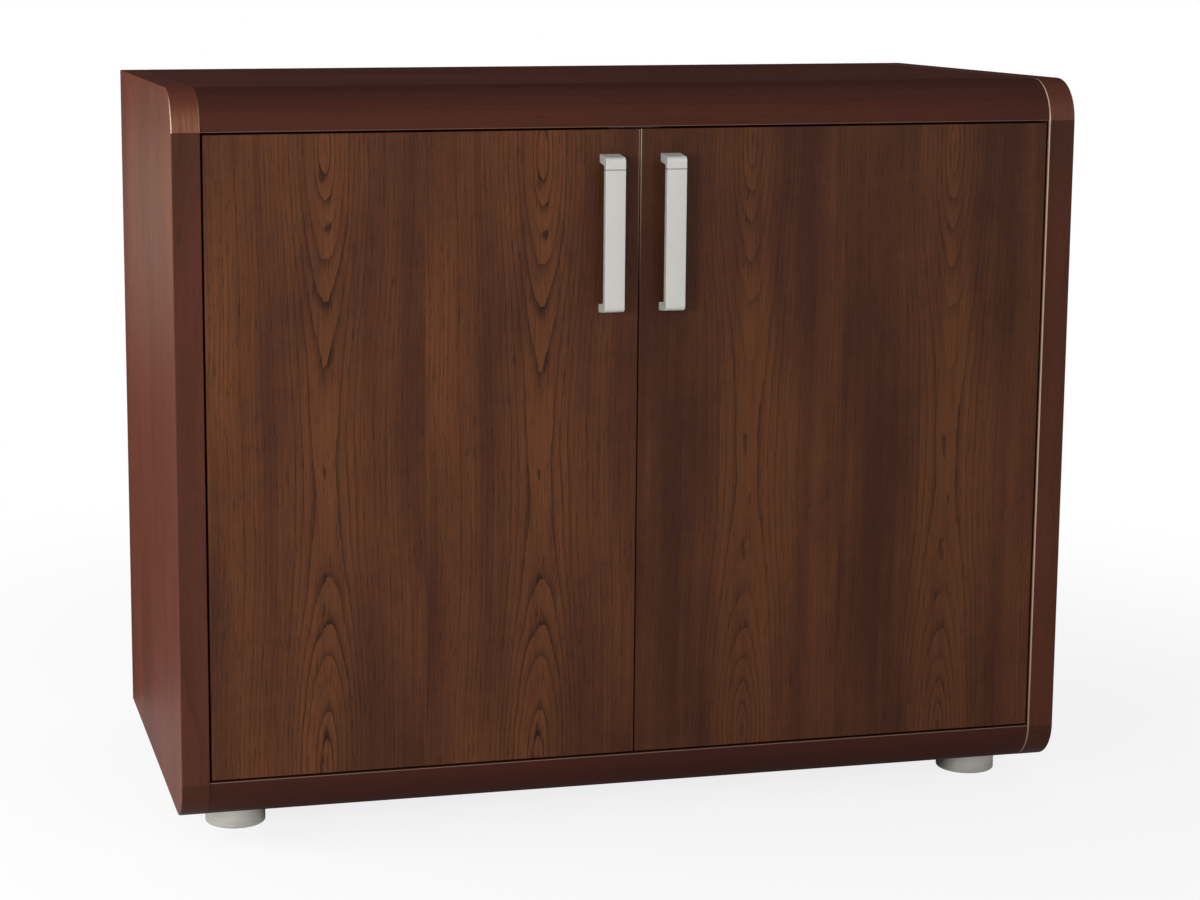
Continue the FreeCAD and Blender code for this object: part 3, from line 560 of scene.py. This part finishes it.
pin_low, pin_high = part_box("shelf_pins")
panel_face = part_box("right_side_panel")[0].x
stem = [(0, -PIN_DEPTH), (PIN_STEM - 0.0004, -PIN_DEPTH), (PIN_STEM, -PIN_DEPTH + PIN_BREAK),
        (PIN_STEM, 0)]
collar = [(PIN_HEAD, 0), (PIN_HEAD, PIN_COLLAR), (PIN_HEAD - PIN_GROOVE, PIN_COLLAR + 0.0003),
          (PIN_HEAD - PIN_GROOVE, PIN_COLLAR + 0.0007), (PIN_HEAD, PIN_COLLAR + 0.0010)]
peg = [(PIN_HEAD, PIN_REACH - PIN_BREAK), (PIN_HEAD - PIN_BREAK, PIN_REACH), (0, PIN_REACH)]
shelf_pin = turned(stem + collar + peg)
pin_rows = (pin_low.y + PIN_HEAD, pin_high.y - PIN_HEAD)
pin_level = pin_high.z - PIN_HEAD
pin_stands = [standing((turn * panel_face, row, pin_level), (-turn, 0, 0))
              for turn in (-1, 1) for row in pin_rows]
gather_steel("shelf_pins_turned", "case", shelf_pin, pin_stands, "shelf_pins")


# ---------------------------------------------------------------------------------------------
# Cam locks, cam bolts and dowels
# Die-cast zinc cams with a cross drive, sunk into 15 mm bores of the top and bottom panels.
# They draw the steel bolts of the side panels, and beech dowels beside them keep the boards
# in line.
# ---------------------------------------------------------------------------------------------

cast_zinc = plated_steel("cast_zinc", dull=stain(140, 141, 142), bright=stain(176, 177, 176),
                         roughness=0.46, speck=1600.0)

CAM_RADIUS = 0.0075
CAM_BREAK = 0.0006
CAM_CROSS_REACH = 0.0036
CAM_CROSS_HALF = 0.0009
CAM_CROSS_DEPTH = 0.004

cam_low, cam_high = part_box("cam_locks")
floor_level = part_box("bottom_panel")[1].z
ceiling_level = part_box("top_panel")[0].z
cam_depth = floor_level - cam_low.z
drum = [(0, -cam_depth), (CAM_RADIUS - CAM_BREAK, -cam_depth), (CAM_RADIUS, CAM_BREAK - cam_depth)]
rim = [(CAM_RADIUS, -0.0010), (CAM_RADIUS - 0.0004, -0.0003), (CAM_RADIUS - 0.0014, -0.0003)]
sunk_face = [(CAM_RADIUS - 0.0017, -0.0008), (CAM_RADIUS - 0.0024, -0.0008)]
cam = turned(drum + rim + sunk_face, recess=cross(CAM_CROSS_REACH, CAM_CROSS_HALF),
             depth=CAM_CROSS_DEPTH, taper=0.75)
cam_stands = [standing((x, y, level), (0, 0, up))
              for x in (cam_low.x + CAM_RADIUS, cam_high.x - CAM_RADIUS)
              for y in (cam_low.y + CAM_RADIUS, cam_high.y - CAM_RADIUS)
              for level, up in ((floor_level, 1), (ceiling_level, -1))]
gather("cam_locks_cast", "case", "zinc_plated_steel", cast_zinc, [(cam, cam_stands)], "cam_locks")

BEECH_TONES = {
    "pale": stain(219, 182, 138),
    "deep": stain(203, 162, 118),
    "line": stain(186, 142, 98),
    "pore": stain(158, 112, 76),
}
low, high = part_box("dowels")
finish, _, _ = veneer("beech", "YZX", board=low.z, leaf=1.0, first=low.y, tones=BEECH_TONES,
                      aside=0.4, contrast=0.6)
dress(finish, "dowels")
dress(zinc, "cam_bolts")


# ---------------------------------------------------------------------------------------------
# Door stop
# A moulded brown block screwed under the top panel behind the doors' meeting edge, with a soft
# domed buffer for each door.
# ---------------------------------------------------------------------------------------------

def moulded(name, colour, roughness, speck=2600.0):
    """Moulded plastic or rubber with a fine spark-eroded grain."""
    finish, surface, parts = new_finish(name)
    grain = specks(parts, speck)
    cloud = specks(parts, 45)
    shaded = tuple(level * 0.78 for level in colour[:3]) + (1,)
    feed(surface, "Base Color", blended(grain * 0.6 + cloud * 0.4, shaded, colour))
    feed(surface, "Roughness", roughness + (grain - 0.5) * 0.18)
    roughen(surface, grain, strength=0.3, distance=0.00006)
    return finish


def ridges(radius, low, high, pitch):
    """The outline of a thread between two heights, as (radius, height) pairs."""
    outline = []
    for number in range(round((high - low) / pitch)):
        outline += [(radius * 0.8, low + number * pitch), (radius, low + (number + 0.5) * pitch)]
    return outline


def screw(head_radius, head_height, radius, length, pitch=0.0016, tip=0.004):
    """A screw with a low head and a cross recess; the head stands on z = 0."""
    shank = ridges(radius, tip - length, -0.001, pitch)
    head = [(radius, -0.0005), (radius, 0), (head_radius, 0), (head_radius, head_height * 0.35),
            (head_radius * 0.9, head_height * 0.8), (head_radius * 0.68, head_height)]
    return turned([(0, -length)] + shank + head,
                  recess=cross(head_radius * 0.52, head_radius * 0.13),
                  depth=head_height * 0.85, taper=0.6, steps=24)


def rounded(mesh, edges, radius, segments):
    """Rounds some of a part's edges."""
    bmesh.ops.bevel(mesh, geom=edges, offset=radius, segments=segments, profile=0.5,
                    affect="EDGES", material=-1)


def block(low, high, edge_round, segments):
    """A block between two corners, with its four upright edges rounded."""
    mesh = bmesh.new()
    size = high - low
    bmesh.ops.create_cube(mesh, size=1.0, matrix=Matrix.LocRotScale((low + high) / 2, None, size))
    upright = [edge for edge in mesh.edges
               if abs(edge.verts[0].co.z - edge.verts[1].co.z) > size.z / 2]
    rounded(mesh, upright, edge_round, segments)
    return mesh


STOP_END_ROUND = 0.004
STOP_EDGE_ROUND = 0.0008

low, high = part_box("door_stop")
mesh = block(low, high, STOP_END_ROUND, segments=5)
under_rim = [edge for edge in mesh.edges
             if all(point.co.z < low.z + WELD_REACH for point in edge.verts)]
rounded(mesh, under_rim, STOP_EDGE_ROUND, segments=3)
stop_plastic = moulded("stop_plastic", stain(74, 52, 42), roughness=0.5)
gather("door_stop_moulded", "case", "stop_plastic", stop_plastic, [(finished(mesh), [Matrix()])],
       "door_stop")

BUFFER_RADIUS = 0.004
BUFFER_FOOT = 0.0006

low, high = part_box("door_buffers")
dome_height = high.y - low.y
foot = [(BUFFER_RADIUS, 0), (BUFFER_RADIUS, BUFFER_FOOT)]
dome = [(BUFFER_RADIUS * 0.84, dome_height * 0.7), (BUFFER_RADIUS * 0.5, dome_height * 0.94),
        (0, dome_height)]
buffer = turned(foot + dome)
buffer_stands = [standing((x, high.y, (low.z + high.z) / 2), (0, -1, 0))
                 for x in (low.x + BUFFER_RADIUS, high.x - BUFFER_RADIUS)]
buffer_rubber = moulded("buffer_rubber", stain(166, 164, 156), roughness=0.6)
gather("door_buffers_domed", "case", "buffer_rubber", buffer_rubber, [(buffer, buffer_stands)],
       "door_buffers")

SMALL_HEAD = 0.0034
SMALL_SCREW_RADIUS = 0.00175

low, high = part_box("door_stop_screws")
stop_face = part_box("door_stop")[0].z
stop_screw = screw(SMALL_HEAD, stop_face - low.z, SMALL_SCREW_RADIUS, high.z - stop_face)
stop_stands = [standing((x, (low.y + high.y) / 2, stop_face), (0, 0, -1))
               for x in (low.x + SMALL_HEAD, high.x - SMALL_HEAD)]
gather_steel("door_stop_screws_cut", "case", stop_screw, stop_stands, "door_stop_screws")


# ---------------------------------------------------------------------------------------------
# Handles
# Bridge handles in satin silver lacquer on die-cast zinc: a flat bar between two bracket ends.
# The bar's upper end is stepped, so a hairline shows at its joint. A machine screw from the
# door's back holds each leg.
# ---------------------------------------------------------------------------------------------

BAR_EDGE_ROUND = 0.0006
JOINT_HEIGHT = 0.0006
JOINT_DEPTH = 0.0009
JOINT_SHADE = stain(60, 54, 46)
JOINT_SHADE_REACH = 0.0010
HANDLE_SCREW_RADIUS = 0.002
HANDLE_SCREW_PITCH = 0.0007
HANDLE_SCREW_TIP = 0.001


def silver_lacquer(name):
    """Satin silver lacquer, fine metal flake under a matt film, with painted shade in the joint's
    line.
    """
    finish, surface, (x, y, z) = new_finish(name)
    flake = noise(x * 2500, y * 2500, z * 160, detail=3.0)
    cloud = specks((x, y, z), 25)
    shade = flake * 0.6 + cloud * 0.4
    feed(surface, "Base Color", blended(shade, stain(176, 175, 169), stain(190, 189, 183)))
    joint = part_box("left_handle_bar")[1].z - JOINT_HEIGHT / 2
    # Painted shade in the joint's hairline groove.
    lay_over(surface, near((z - joint).math("ABSOLUTE"), JOINT_SHADE_REACH) * 0.5, JOINT_SHADE)
    feed(surface, "Roughness", 0.42 + (flake - 0.5) * 0.10 + (cloud - 0.5) * 0.08)
    feed(surface, "Metallic", 0.2)
    roughen(surface, flake, strength=0.2, distance=0.00006)
    return finish


silver = silver_lacquer("silver_lacquer")
for side in SIDES:
    low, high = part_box(f"{side}_handle_bar")
    mesh = block(low, high, BAR_EDGE_ROUND, segments=3)
    top = [face for face in mesh.faces if face.normal.z > 0.9]
    bmesh.ops.translate(mesh, vec=(0, 0, -JOINT_HEIGHT), verts=list(top[0].verts))
    bmesh.ops.inset_region(mesh, faces=top, thickness=JOINT_DEPTH, depth=0)
    neck = bmesh.ops.extrude_face_region(mesh, geom=top)["geom"]
    neck_points = [item for item in neck if isinstance(item, bmesh.types.BMVert)]
    bmesh.ops.translate(mesh, vec=(0, 0, JOINT_HEIGHT), verts=neck_points)
    bmesh.ops.delete(mesh, geom=top, context="FACES")
    gather(f"{side}_handle_bar_stepped", f"{side}_door", "handle_metal", silver,
           [(finished(mesh), [Matrix()])], f"{side}_handle_bar")
    dress(silver, f"{side}_handle_upper_end", f"{side}_handle_lower_end")

    low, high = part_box(f"{side}_handle_screws")
    door_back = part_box(f"{side}_door")[1].y
    head = (high.x - low.x) / 2
    handle_screw = screw(head, high.y - door_back, HANDLE_SCREW_RADIUS, door_back - low.y,
                         pitch=HANDLE_SCREW_PITCH, tip=HANDLE_SCREW_TIP)
    stands = [standing(((low.x + high.x) / 2, door_back, level), (0, 1, 0))
              for level in (low.z + head, high.z - head)]
    gather_steel(f"{side}_handle_screws_cut", f"{side}_door", handle_screw, stands,
                 f"{side}_handle_screws")


# ---------------------------------------------------------------------------------------------
# Hinges
# Concealed hinges, stamped from steel and nickel plated: a cup pressed with a rim and two
# screwed wings, a link, an arm with its adjusting screws, and a plate on the side panel.
# ---------------------------------------------------------------------------------------------

nickel = plated_steel("nickel_plating", dull=stain(186, 183, 177), bright=stain(214, 212, 206),
                      roughness=0.26)

INWARD = {"left": 1, "right": -1}
CUP_RADIUS = 0.0174
CUP_WALL = 0.0008
CUP_BEND = 0.003
RIM_REACH = 0.0011
RIM_SLOPE = 0.0005
RIM_BREAK = 0.0004
EDGE_BREAK = 0.0003
SOFTENED_ANGLE = math.radians(40)
WING_ROUND = 0.005
FLANGE_OUTWARD = 0.0085
FLANGE_INWARD = 0.0155
CUP_SCREW_SPREAD = 0.024
PLATE_SCREW_SPREAD = 0.016
PLATE_THICKNESS = 0.003
PLATE_HEAD = 0.0042
PLATE_HEAD_HEIGHT = 0.0014
PLATE_SCREW_RADIUS = 0.0025
ADJUSTERS = ({"head": 0.0036, "from_back": 0.012}, {"head": 0.0027, "from_back": 0.033})
ADJUSTER_HEAD_HEIGHT = 0.0009
ADJUSTER_RADIUS = 0.0015
ADJUSTER_LENGTH = 0.003
ADJUSTER_PITCH = 0.0005
ENDS = ("upper", "lower")


def soften(width, *names):
    """Breaks the sharp edges of CAD nodes."""
    for name in names:
        weld = nodes[name].modifiers.new("weld", "WELD")
        weld.merge_threshold = WELD_REACH
        bevel = nodes[name].modifiers.new("bevel", "BEVEL")
        bevel.width = width
        bevel.segments = 2
        bevel.limit_method = "ANGLE"
        bevel.angle_limit = SOFTENED_ANGLE
        bevel.harden_normals = True


def bend(radius, base):
    """The quarter round between the cup's bottom and its wall, as (radius, height) pairs."""
    turns = [step * math.pi / 8 for step in range(5)]
    return [(radius - CUP_BEND + CUP_BEND * math.sin(turn),
             base + CUP_BEND - CUP_BEND * math.cos(turn)) for turn in turns]


def pressed_cup(depth, flange):
    """The cup, sunk below z = 0, with a rounded bottom and a rim over the bore's edge."""
    wall = CUP_RADIUS - CUP_WALL
    outside = [(0, -depth)] + bend(CUP_RADIUS, -depth)
    rim = [(CUP_RADIUS, 0), (CUP_RADIUS + RIM_REACH, 0), (CUP_RADIUS + RIM_REACH, flange * 0.6),
           (CUP_RADIUS + RIM_REACH - RIM_SLOPE, flange), (wall + RIM_BREAK, flange),
           (wall, flange - RIM_BREAK)]
    inside = bend(wall, CUP_WALL - depth)[::-1] + [(0, CUP_WALL - depth)]
    return turned(outside + rim + inside, steps=48)


def wing(left, right, reach, up, thickness):
    """Half of the flange, from the cup's rim up or down to reach, its two outer corners round."""
    start, end = math.acos(right / CUP_RADIUS), math.acos(left / CUP_RADIUS)
    turns = [start + (end - start) * step / 12 for step in range(13)]
    rim = [(CUP_RADIUS * math.cos(turn), CUP_RADIUS * math.sin(turn)) for turn in turns]
    mesh = bmesh.new()
    points = [mesh.verts.new((x, 0, up * z)) for x, z in rim + [(left, reach), (right, reach)]]
    mesh.faces.new(points)
    bmesh.ops.bevel(mesh, geom=points[-2:], offset=WING_ROUND, segments=6, profile=0.5,
                    affect="VERTICES", material=-1)
    lifted = bmesh.ops.extrude_face_region(mesh, geom=list(mesh.faces))["geom"]
    top_points = [item for item in lifted if isinstance(item, bmesh.types.BMVert)]
    bmesh.ops.translate(mesh, vec=(0, thickness, 0), verts=top_points)
    top_edges = [item for item in lifted if isinstance(item, bmesh.types.BMEdge)]
    rounded(mesh, top_edges, EDGE_BREAK, segments=2)
    return finished(mesh)


for side, inward in INWARD.items():
    door_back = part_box(f"{side}_door")[1].y
    screws_low, screws_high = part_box(f"{side}_hinge_cup_screws")
    screw_x = (screws_low.x + screws_high.x) / 2
    screw_stands = []
    for end in ENDS:
        low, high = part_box(f"{side}_{end}_hinge_cup")
        level = (low.z + high.z) / 2
        cup_x = (low.x + high.x) / 2
        flange = high.y - door_back
        cup = pressed_cup(door_back - low.y, flange)
        left_edge, right_edge = sorted(inward * reach for reach in (-FLANGE_OUTWARD, FLANGE_INWARD))
        parts = [(cup, [standing((cup_x, door_back, level), (0, 1, 0))])]
        parts += [(wing(left_edge, right_edge, (high.z - low.z) / 2, up, flange),
                   [Matrix.Translation((cup_x, door_back, level))]) for up in (-1, 1)]
        gather(f"{side}_{end}_hinge_cup_pressed", f"{side}_door", "hinge_nickel", nickel, parts,
               f"{side}_{end}_hinge_cup")
        screw_stands += [standing((screw_x, high.y, level + step * CUP_SCREW_SPREAD), (0, 1, 0))
                         for step in (-1, 1)]
        dress(nickel, f"{side}_{end}_hinge_link", f"{side}_{end}_hinge_arm",
              f"{side}_{end}_hinge_plate")
        soften(EDGE_BREAK, f"{side}_{end}_hinge_arm", f"{side}_{end}_hinge_plate")

        arm_low, arm_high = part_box(f"{side}_{end}_hinge_arm")
        arm_face = arm_high.x if side == "left" else arm_low.x
        adjusters = []
        for adjuster in ADJUSTERS:
            place = (arm_face, arm_high.y - adjuster["from_back"], level)
            part = screw(adjuster["head"], ADJUSTER_HEAD_HEIGHT, ADJUSTER_RADIUS, ADJUSTER_LENGTH,
                         pitch=ADJUSTER_PITCH, tip=ADJUSTER_PITCH)
            adjusters.append((part, [standing(place, (inward, 0, 0))]))
        gather(f"{side}_{end}_hinge_adjusters", "case", "zinc_plated_steel", zinc, adjusters)
    cup_screw = screw(SMALL_HEAD, screws_high.y - high.y, SMALL_SCREW_RADIUS, high.y - screws_low.y)
    gather_steel(f"{side}_hinge_cup_screws_cut", f"{side}_door", cup_screw, screw_stands,
                 f"{side}_hinge_cup_screws")

plate_stands = []
for side, inward in INWARD.items():
    for end in ENDS:
        low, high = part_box(f"{side}_{end}_hinge_plate")
        panel_side = low.x if side == "left" else high.x
        seat = panel_side + inward * PLATE_THICKNESS
        middle_y = (low.y + high.y) / 2
        middle_z = (low.z + high.z) / 2
        for step in (-1, 1):
            place = (seat, middle_y, middle_z + step * PLATE_SCREW_SPREAD)
            plate_stands.append(standing(place, (inward, 0, 0)))
plate_screw_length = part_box("hinge_plate_screws")[1].x - abs(seat)
plate_screw = screw(PLATE_HEAD, PLATE_HEAD_HEIGHT, PLATE_SCREW_RADIUS, plate_screw_length)
gather_steel("hinge_plate_screws_cut", "case", plate_screw, plate_stands, "hinge_plate_screws")


# ---------------------------------------------------------------------------------------------
# Feet
# Turned housings of brushed, nickel-plated steel, each on three screws under the bottom panel,
# with a black moulded glide on an M6 spindle that a hexagon key turns from inside the case.
# ---------------------------------------------------------------------------------------------

CORNERS = ("front_left", "front_right", "back_left", "back_right")
SPINDLE_RADIUS = 0.003
SPINDLE_PITCH = 0.001
SPINDLE_BREAK = 0.0004
KEY_REACH = 0.0017
KEY_DEPTH = 0.003
FOOT_SCREW_CIRCLE = 0.022
FOOT_SCREW_TURNS = (30, 150, 270)
FOOT_SCREW_RADIUS = 0.002
FOOT_HEAD = 0.0035
FOOT_HEAD_HEIGHT = 0.002
SPINDLE_HEAD_HEIGHT = 0.0025


def brushed_steel(name, centre):
    """Steel brushed round the foot's upright axis."""
    finish, surface, (x, y, z) = new_finish(name)
    from_axis = ((x - centre.x) ** 2 + (y - centre.y) ** 2) ** 0.5
    brushing = noise(from_axis * 1800, x * 12, z * 2600, detail=3.0)
    cloud = specks((x, y, z), 35)
    feed(surface, "Base Color", blended(brushing, stain(186, 184, 176), stain(222, 220, 212)))
    feed(surface, "Roughness", 0.34 + (brushing - 0.5) * 0.16 + (cloud - 0.5) * 0.08)
    feed(surface, "Metallic", 0.75)
    roughen(surface, brushing, strength=0.3, distance=0.00008)
    return finish


foot_screws_low, foot_screws_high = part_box("foot_screws")
seat = foot_screws_low.z + FOOT_HEAD_HEIGHT
foot_screw_stands = []
glide_plastic = moulded("glide_plastic", stain(52, 52, 54), roughness=0.52)
for corner in CORNERS:
    low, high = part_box(f"{corner}_foot_housing")
    centre = (low + high) / 2
    dress(brushed_steel(f"{corner}_foot_steel", centre), f"{corner}_foot_housing")
    dress(glide_plastic, f"{corner}_foot_glide")

    low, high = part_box(f"{corner}_foot_spindle")
    radius = (high.x - low.x) / 2
    head_top = low.z + SPINDLE_HEAD_HEIGHT
    head = [(0, low.z), (radius - SPINDLE_BREAK, low.z), (radius, low.z + SPINDLE_BREAK),
            (radius, head_top - SPINDLE_BREAK), (radius - SPINDLE_BREAK, head_top),
            (SPINDLE_RADIUS, head_top)]
    thread = ridges(SPINDLE_RADIUS, head_top + SPINDLE_PITCH / 2, high.z - SPINDLE_PITCH / 2,
                    SPINDLE_PITCH)
    spindle = turned(head + thread + [(SPINDLE_RADIUS - 0.0005, high.z)],
                     recess=hexagon(KEY_REACH), depth=KEY_DEPTH, steps=24)
    gather_steel(f"{corner}_foot_spindle_cut", f"{corner}_spindle", spindle,
                 [Matrix.Translation((centre.x, centre.y, 0))], f"{corner}_foot_spindle")

    for turn in FOOT_SCREW_TURNS:
        outward = Vector((math.cos(math.radians(turn)), math.sin(math.radians(turn)), 0))
        place = Vector((centre.x, centre.y, seat)) + outward * FOOT_SCREW_CIRCLE
        foot_screw_stands.append(standing(place, (0, 0, -1)))

foot_screw = screw(FOOT_HEAD, FOOT_HEAD_HEIGHT, FOOT_SCREW_RADIUS, foot_screws_high.z - seat)
gather_steel("foot_screws_cut", "case", foot_screw, foot_screw_stands, "foot_screws")


# ---------------------------------------------------------------------------------------------
# Studio
# A pale floor under a white background, a soft lamp at the front left, a second one level
# with the left side, a weak fill, and a dark cloth that only shows in the lacquer.
# ---------------------------------------------------------------------------------------------

FLOOR_RADIUS = 7.0
FLOOR_GAP = 0.0002
FLOOR_WHITE = (0.72, 0.72, 0.72, 1)
FLOOR_GLOW = 0.83
FLOOR_FADE = (0.7, 1.7)
CLOTH_BEHIND = 0.34
CLOTH_OUTLINE = [(-2.4, 0), (2.4, 0), (2.4, 3.0), (-2.4, 3.0)]
CLOTH_TONE = (0.05, 0.05, 0.05, 1)
PATCH_TONE = (0.84, 0.84, 0.66, 1)
PATCH_SIDE = (-0.58, -0.49)
PATCH_FOOT = (0.36, 0.62)
PATCH_TOP = (0.66, 0.82)
ROOM_LIGHT = (0.6, 0.6, 0.6, 1)
BLACK = (0, 0, 0, 1)
WHITE = (1, 1, 1, 1)


def staged(name, mesh, finish):
    """A studio object, which isn't part of the credenza."""
    data = bpy.data.meshes.new(name)
    mesh.to_mesh(data)
    mesh.free()
    data.materials.append(finish)
    thing = bpy.data.objects.new(name, data)
    bpy.context.scene.collection.objects.link(thing)
    return thing


def floor_paint():
    """White paint that takes shadows, and fades into the white background further away."""
    finish = bpy.data.materials.new("floor_paint")
    finish.use_nodes = True
    tree = finish.node_tree
    tree.nodes.clear()
    output = tree.nodes.new("ShaderNodeOutputMaterial")
    diffuse = tree.nodes.new("ShaderNodeBsdfDiffuse")
    diffuse.inputs["Color"].default_value = FLOOR_WHITE
    glow = tree.nodes.new("ShaderNodeEmission")
    glow.inputs["Color"].default_value = WHITE
    mix = tree.nodes.new("ShaderNodeMixShader")
    seen = Wire(tree, tree.nodes.new("ShaderNodeLightPath").outputs["Is Camera Ray"])
    place = Wire(tree, tree.nodes.new("ShaderNodeTexCoord").outputs["Object"])
    distance = place.node("ShaderNodeVectorMath", {"operation": "LENGTH"}, {0: place}, "Value")
    share = seen * (rise(distance, *FLOOR_FADE) * (1 - FLOOR_GLOW) + FLOOR_GLOW)
    tree.links.new(share.socket, mix.inputs[0])
    tree.links.new(diffuse.outputs[0], mix.inputs[1])
    tree.links.new(glow.outputs[0], mix.inputs[2])
    tree.links.new(mix.outputs[0], output.inputs["Surface"])
    return finish


mesh = bmesh.new()
bmesh.ops.create_circle(mesh, cap_ends=True, segments=96, radius=FLOOR_RADIUS,
                        matrix=Matrix.Translation((0, 0, -FLOOR_GAP)))
staged("floor", mesh, floor_paint())

# The cloth hangs behind the credenza, out of the camera's sight. A pale patch on it gives the
# left side a soft sheen over its upper half.
finish, surface, (x, _, z) = new_finish("dark_cloth")
feed(surface, "Base Color", CLOTH_TONE)
feed(surface, "Specular IOR Level", 0.0)
patch = (1 - rise(x, *PATCH_SIDE)) * rise(z, *PATCH_FOOT) * (1 - rise(z, *PATCH_TOP))
feed(surface, "Emission Color", blended(patch, BLACK, PATCH_TONE))
feed(surface, "Emission Strength", 1.0)
mesh = bmesh.new()
mesh.faces.new([mesh.verts.new((across, CLOTH_BEHIND, up)) for across, up in CLOTH_OUTLINE])
cloth = staged("dark_cloth", mesh, finish)
cloth.visible_camera = False
cloth.visible_diffuse = False
cloth.visible_shadow = False


def soft_lamp(name, place, target, size, power):
    """A soft box that lights the target and stays out of sight."""
    lamp = bpy.data.lights.new(name, "AREA")
    lamp.shape = "RECTANGLE"
    lamp.size, lamp.size_y = size
    lamp.energy = power
    holder = bpy.data.objects.new(name, lamp)
    holder.location = place
    holder.rotation_mode = "QUATERNION"
    holder.rotation_quaternion = (Vector(target) - Vector(place)).to_track_quat("-Z", "Y")
    holder.visible_camera = False
    bpy.context.scene.collection.objects.link(holder)


soft_lamp("front_left_lamp", place=(-1.65, -1.9, 0.95), target=(-0.1, 0, 0.45), size=(0.45, 0.45),
          power=29)
soft_lamp("left_lamp", place=(-2.4, 0.2, 0.9), target=(0, 0, 0.45), size=(0.8, 0.8), power=43)
soft_lamp("fill_lamp", place=(1.5, -3.4, 1.6), target=(0, 0, 0.4), size=(2.5, 2.0), power=20)

world = bpy.data.worlds.new("studio")
world.use_nodes = True
tree = world.node_tree
tree.nodes.clear()
output = tree.nodes.new("ShaderNodeOutputWorld")
room = tree.nodes.new("ShaderNodeBackground")
path = tree.nodes.new("ShaderNodeLightPath")
seen = Wire(tree, path.outputs["Is Camera Ray"])
mirrored = Wire(tree, path.outputs["Is Glossy Ray"])
through = Wire(tree, path.outputs["Is Transmission Ray"])
shown = (seen + mirrored + through).math("MINIMUM", 1.0)
tree.links.new(blended(shown, ROOM_LIGHT, WHITE).socket, room.inputs["Color"])
tree.links.new(room.outputs[0], output.inputs["Surface"])
bpy.context.scene.world = world
bpy.context.scene.view_settings.view_transform = "Standard"


# ---------------------------------------------------------------------------------------------
# Camera
# A longish lens 3 m away, a little above the top and to the left of the doors, so that the left
# side shows as a narrow strip. The frame is shifted to hold the object a little off its middle.
# ---------------------------------------------------------------------------------------------

CAMERA_PLACE = Vector((-0.813, -2.874, 0.930))
CAMERA_TURN = math.radians(-13.06)
CAMERA_TILT = math.radians(9.09)
FOCAL_PIXELS = 2585
FRAME_PIXELS = 1200
FRAME_SHIFT = (0.12, -0.06)
SENSOR_WIDTH = 36

lens = bpy.data.cameras.new("camera")
lens.sensor_width = SENSOR_WIDTH
lens.lens = FOCAL_PIXELS * SENSOR_WIDTH / FRAME_PIXELS
lens.shift_x, lens.shift_y = FRAME_SHIFT
camera = bpy.data.objects.new("camera", lens)
camera.location = CAMERA_PLACE
camera.rotation_euler = (math.pi / 2 - CAMERA_TILT, 0, CAMERA_TURN)
bpy.context.scene.collection.objects.link(camera)
bpy.context.scene.camera = camera
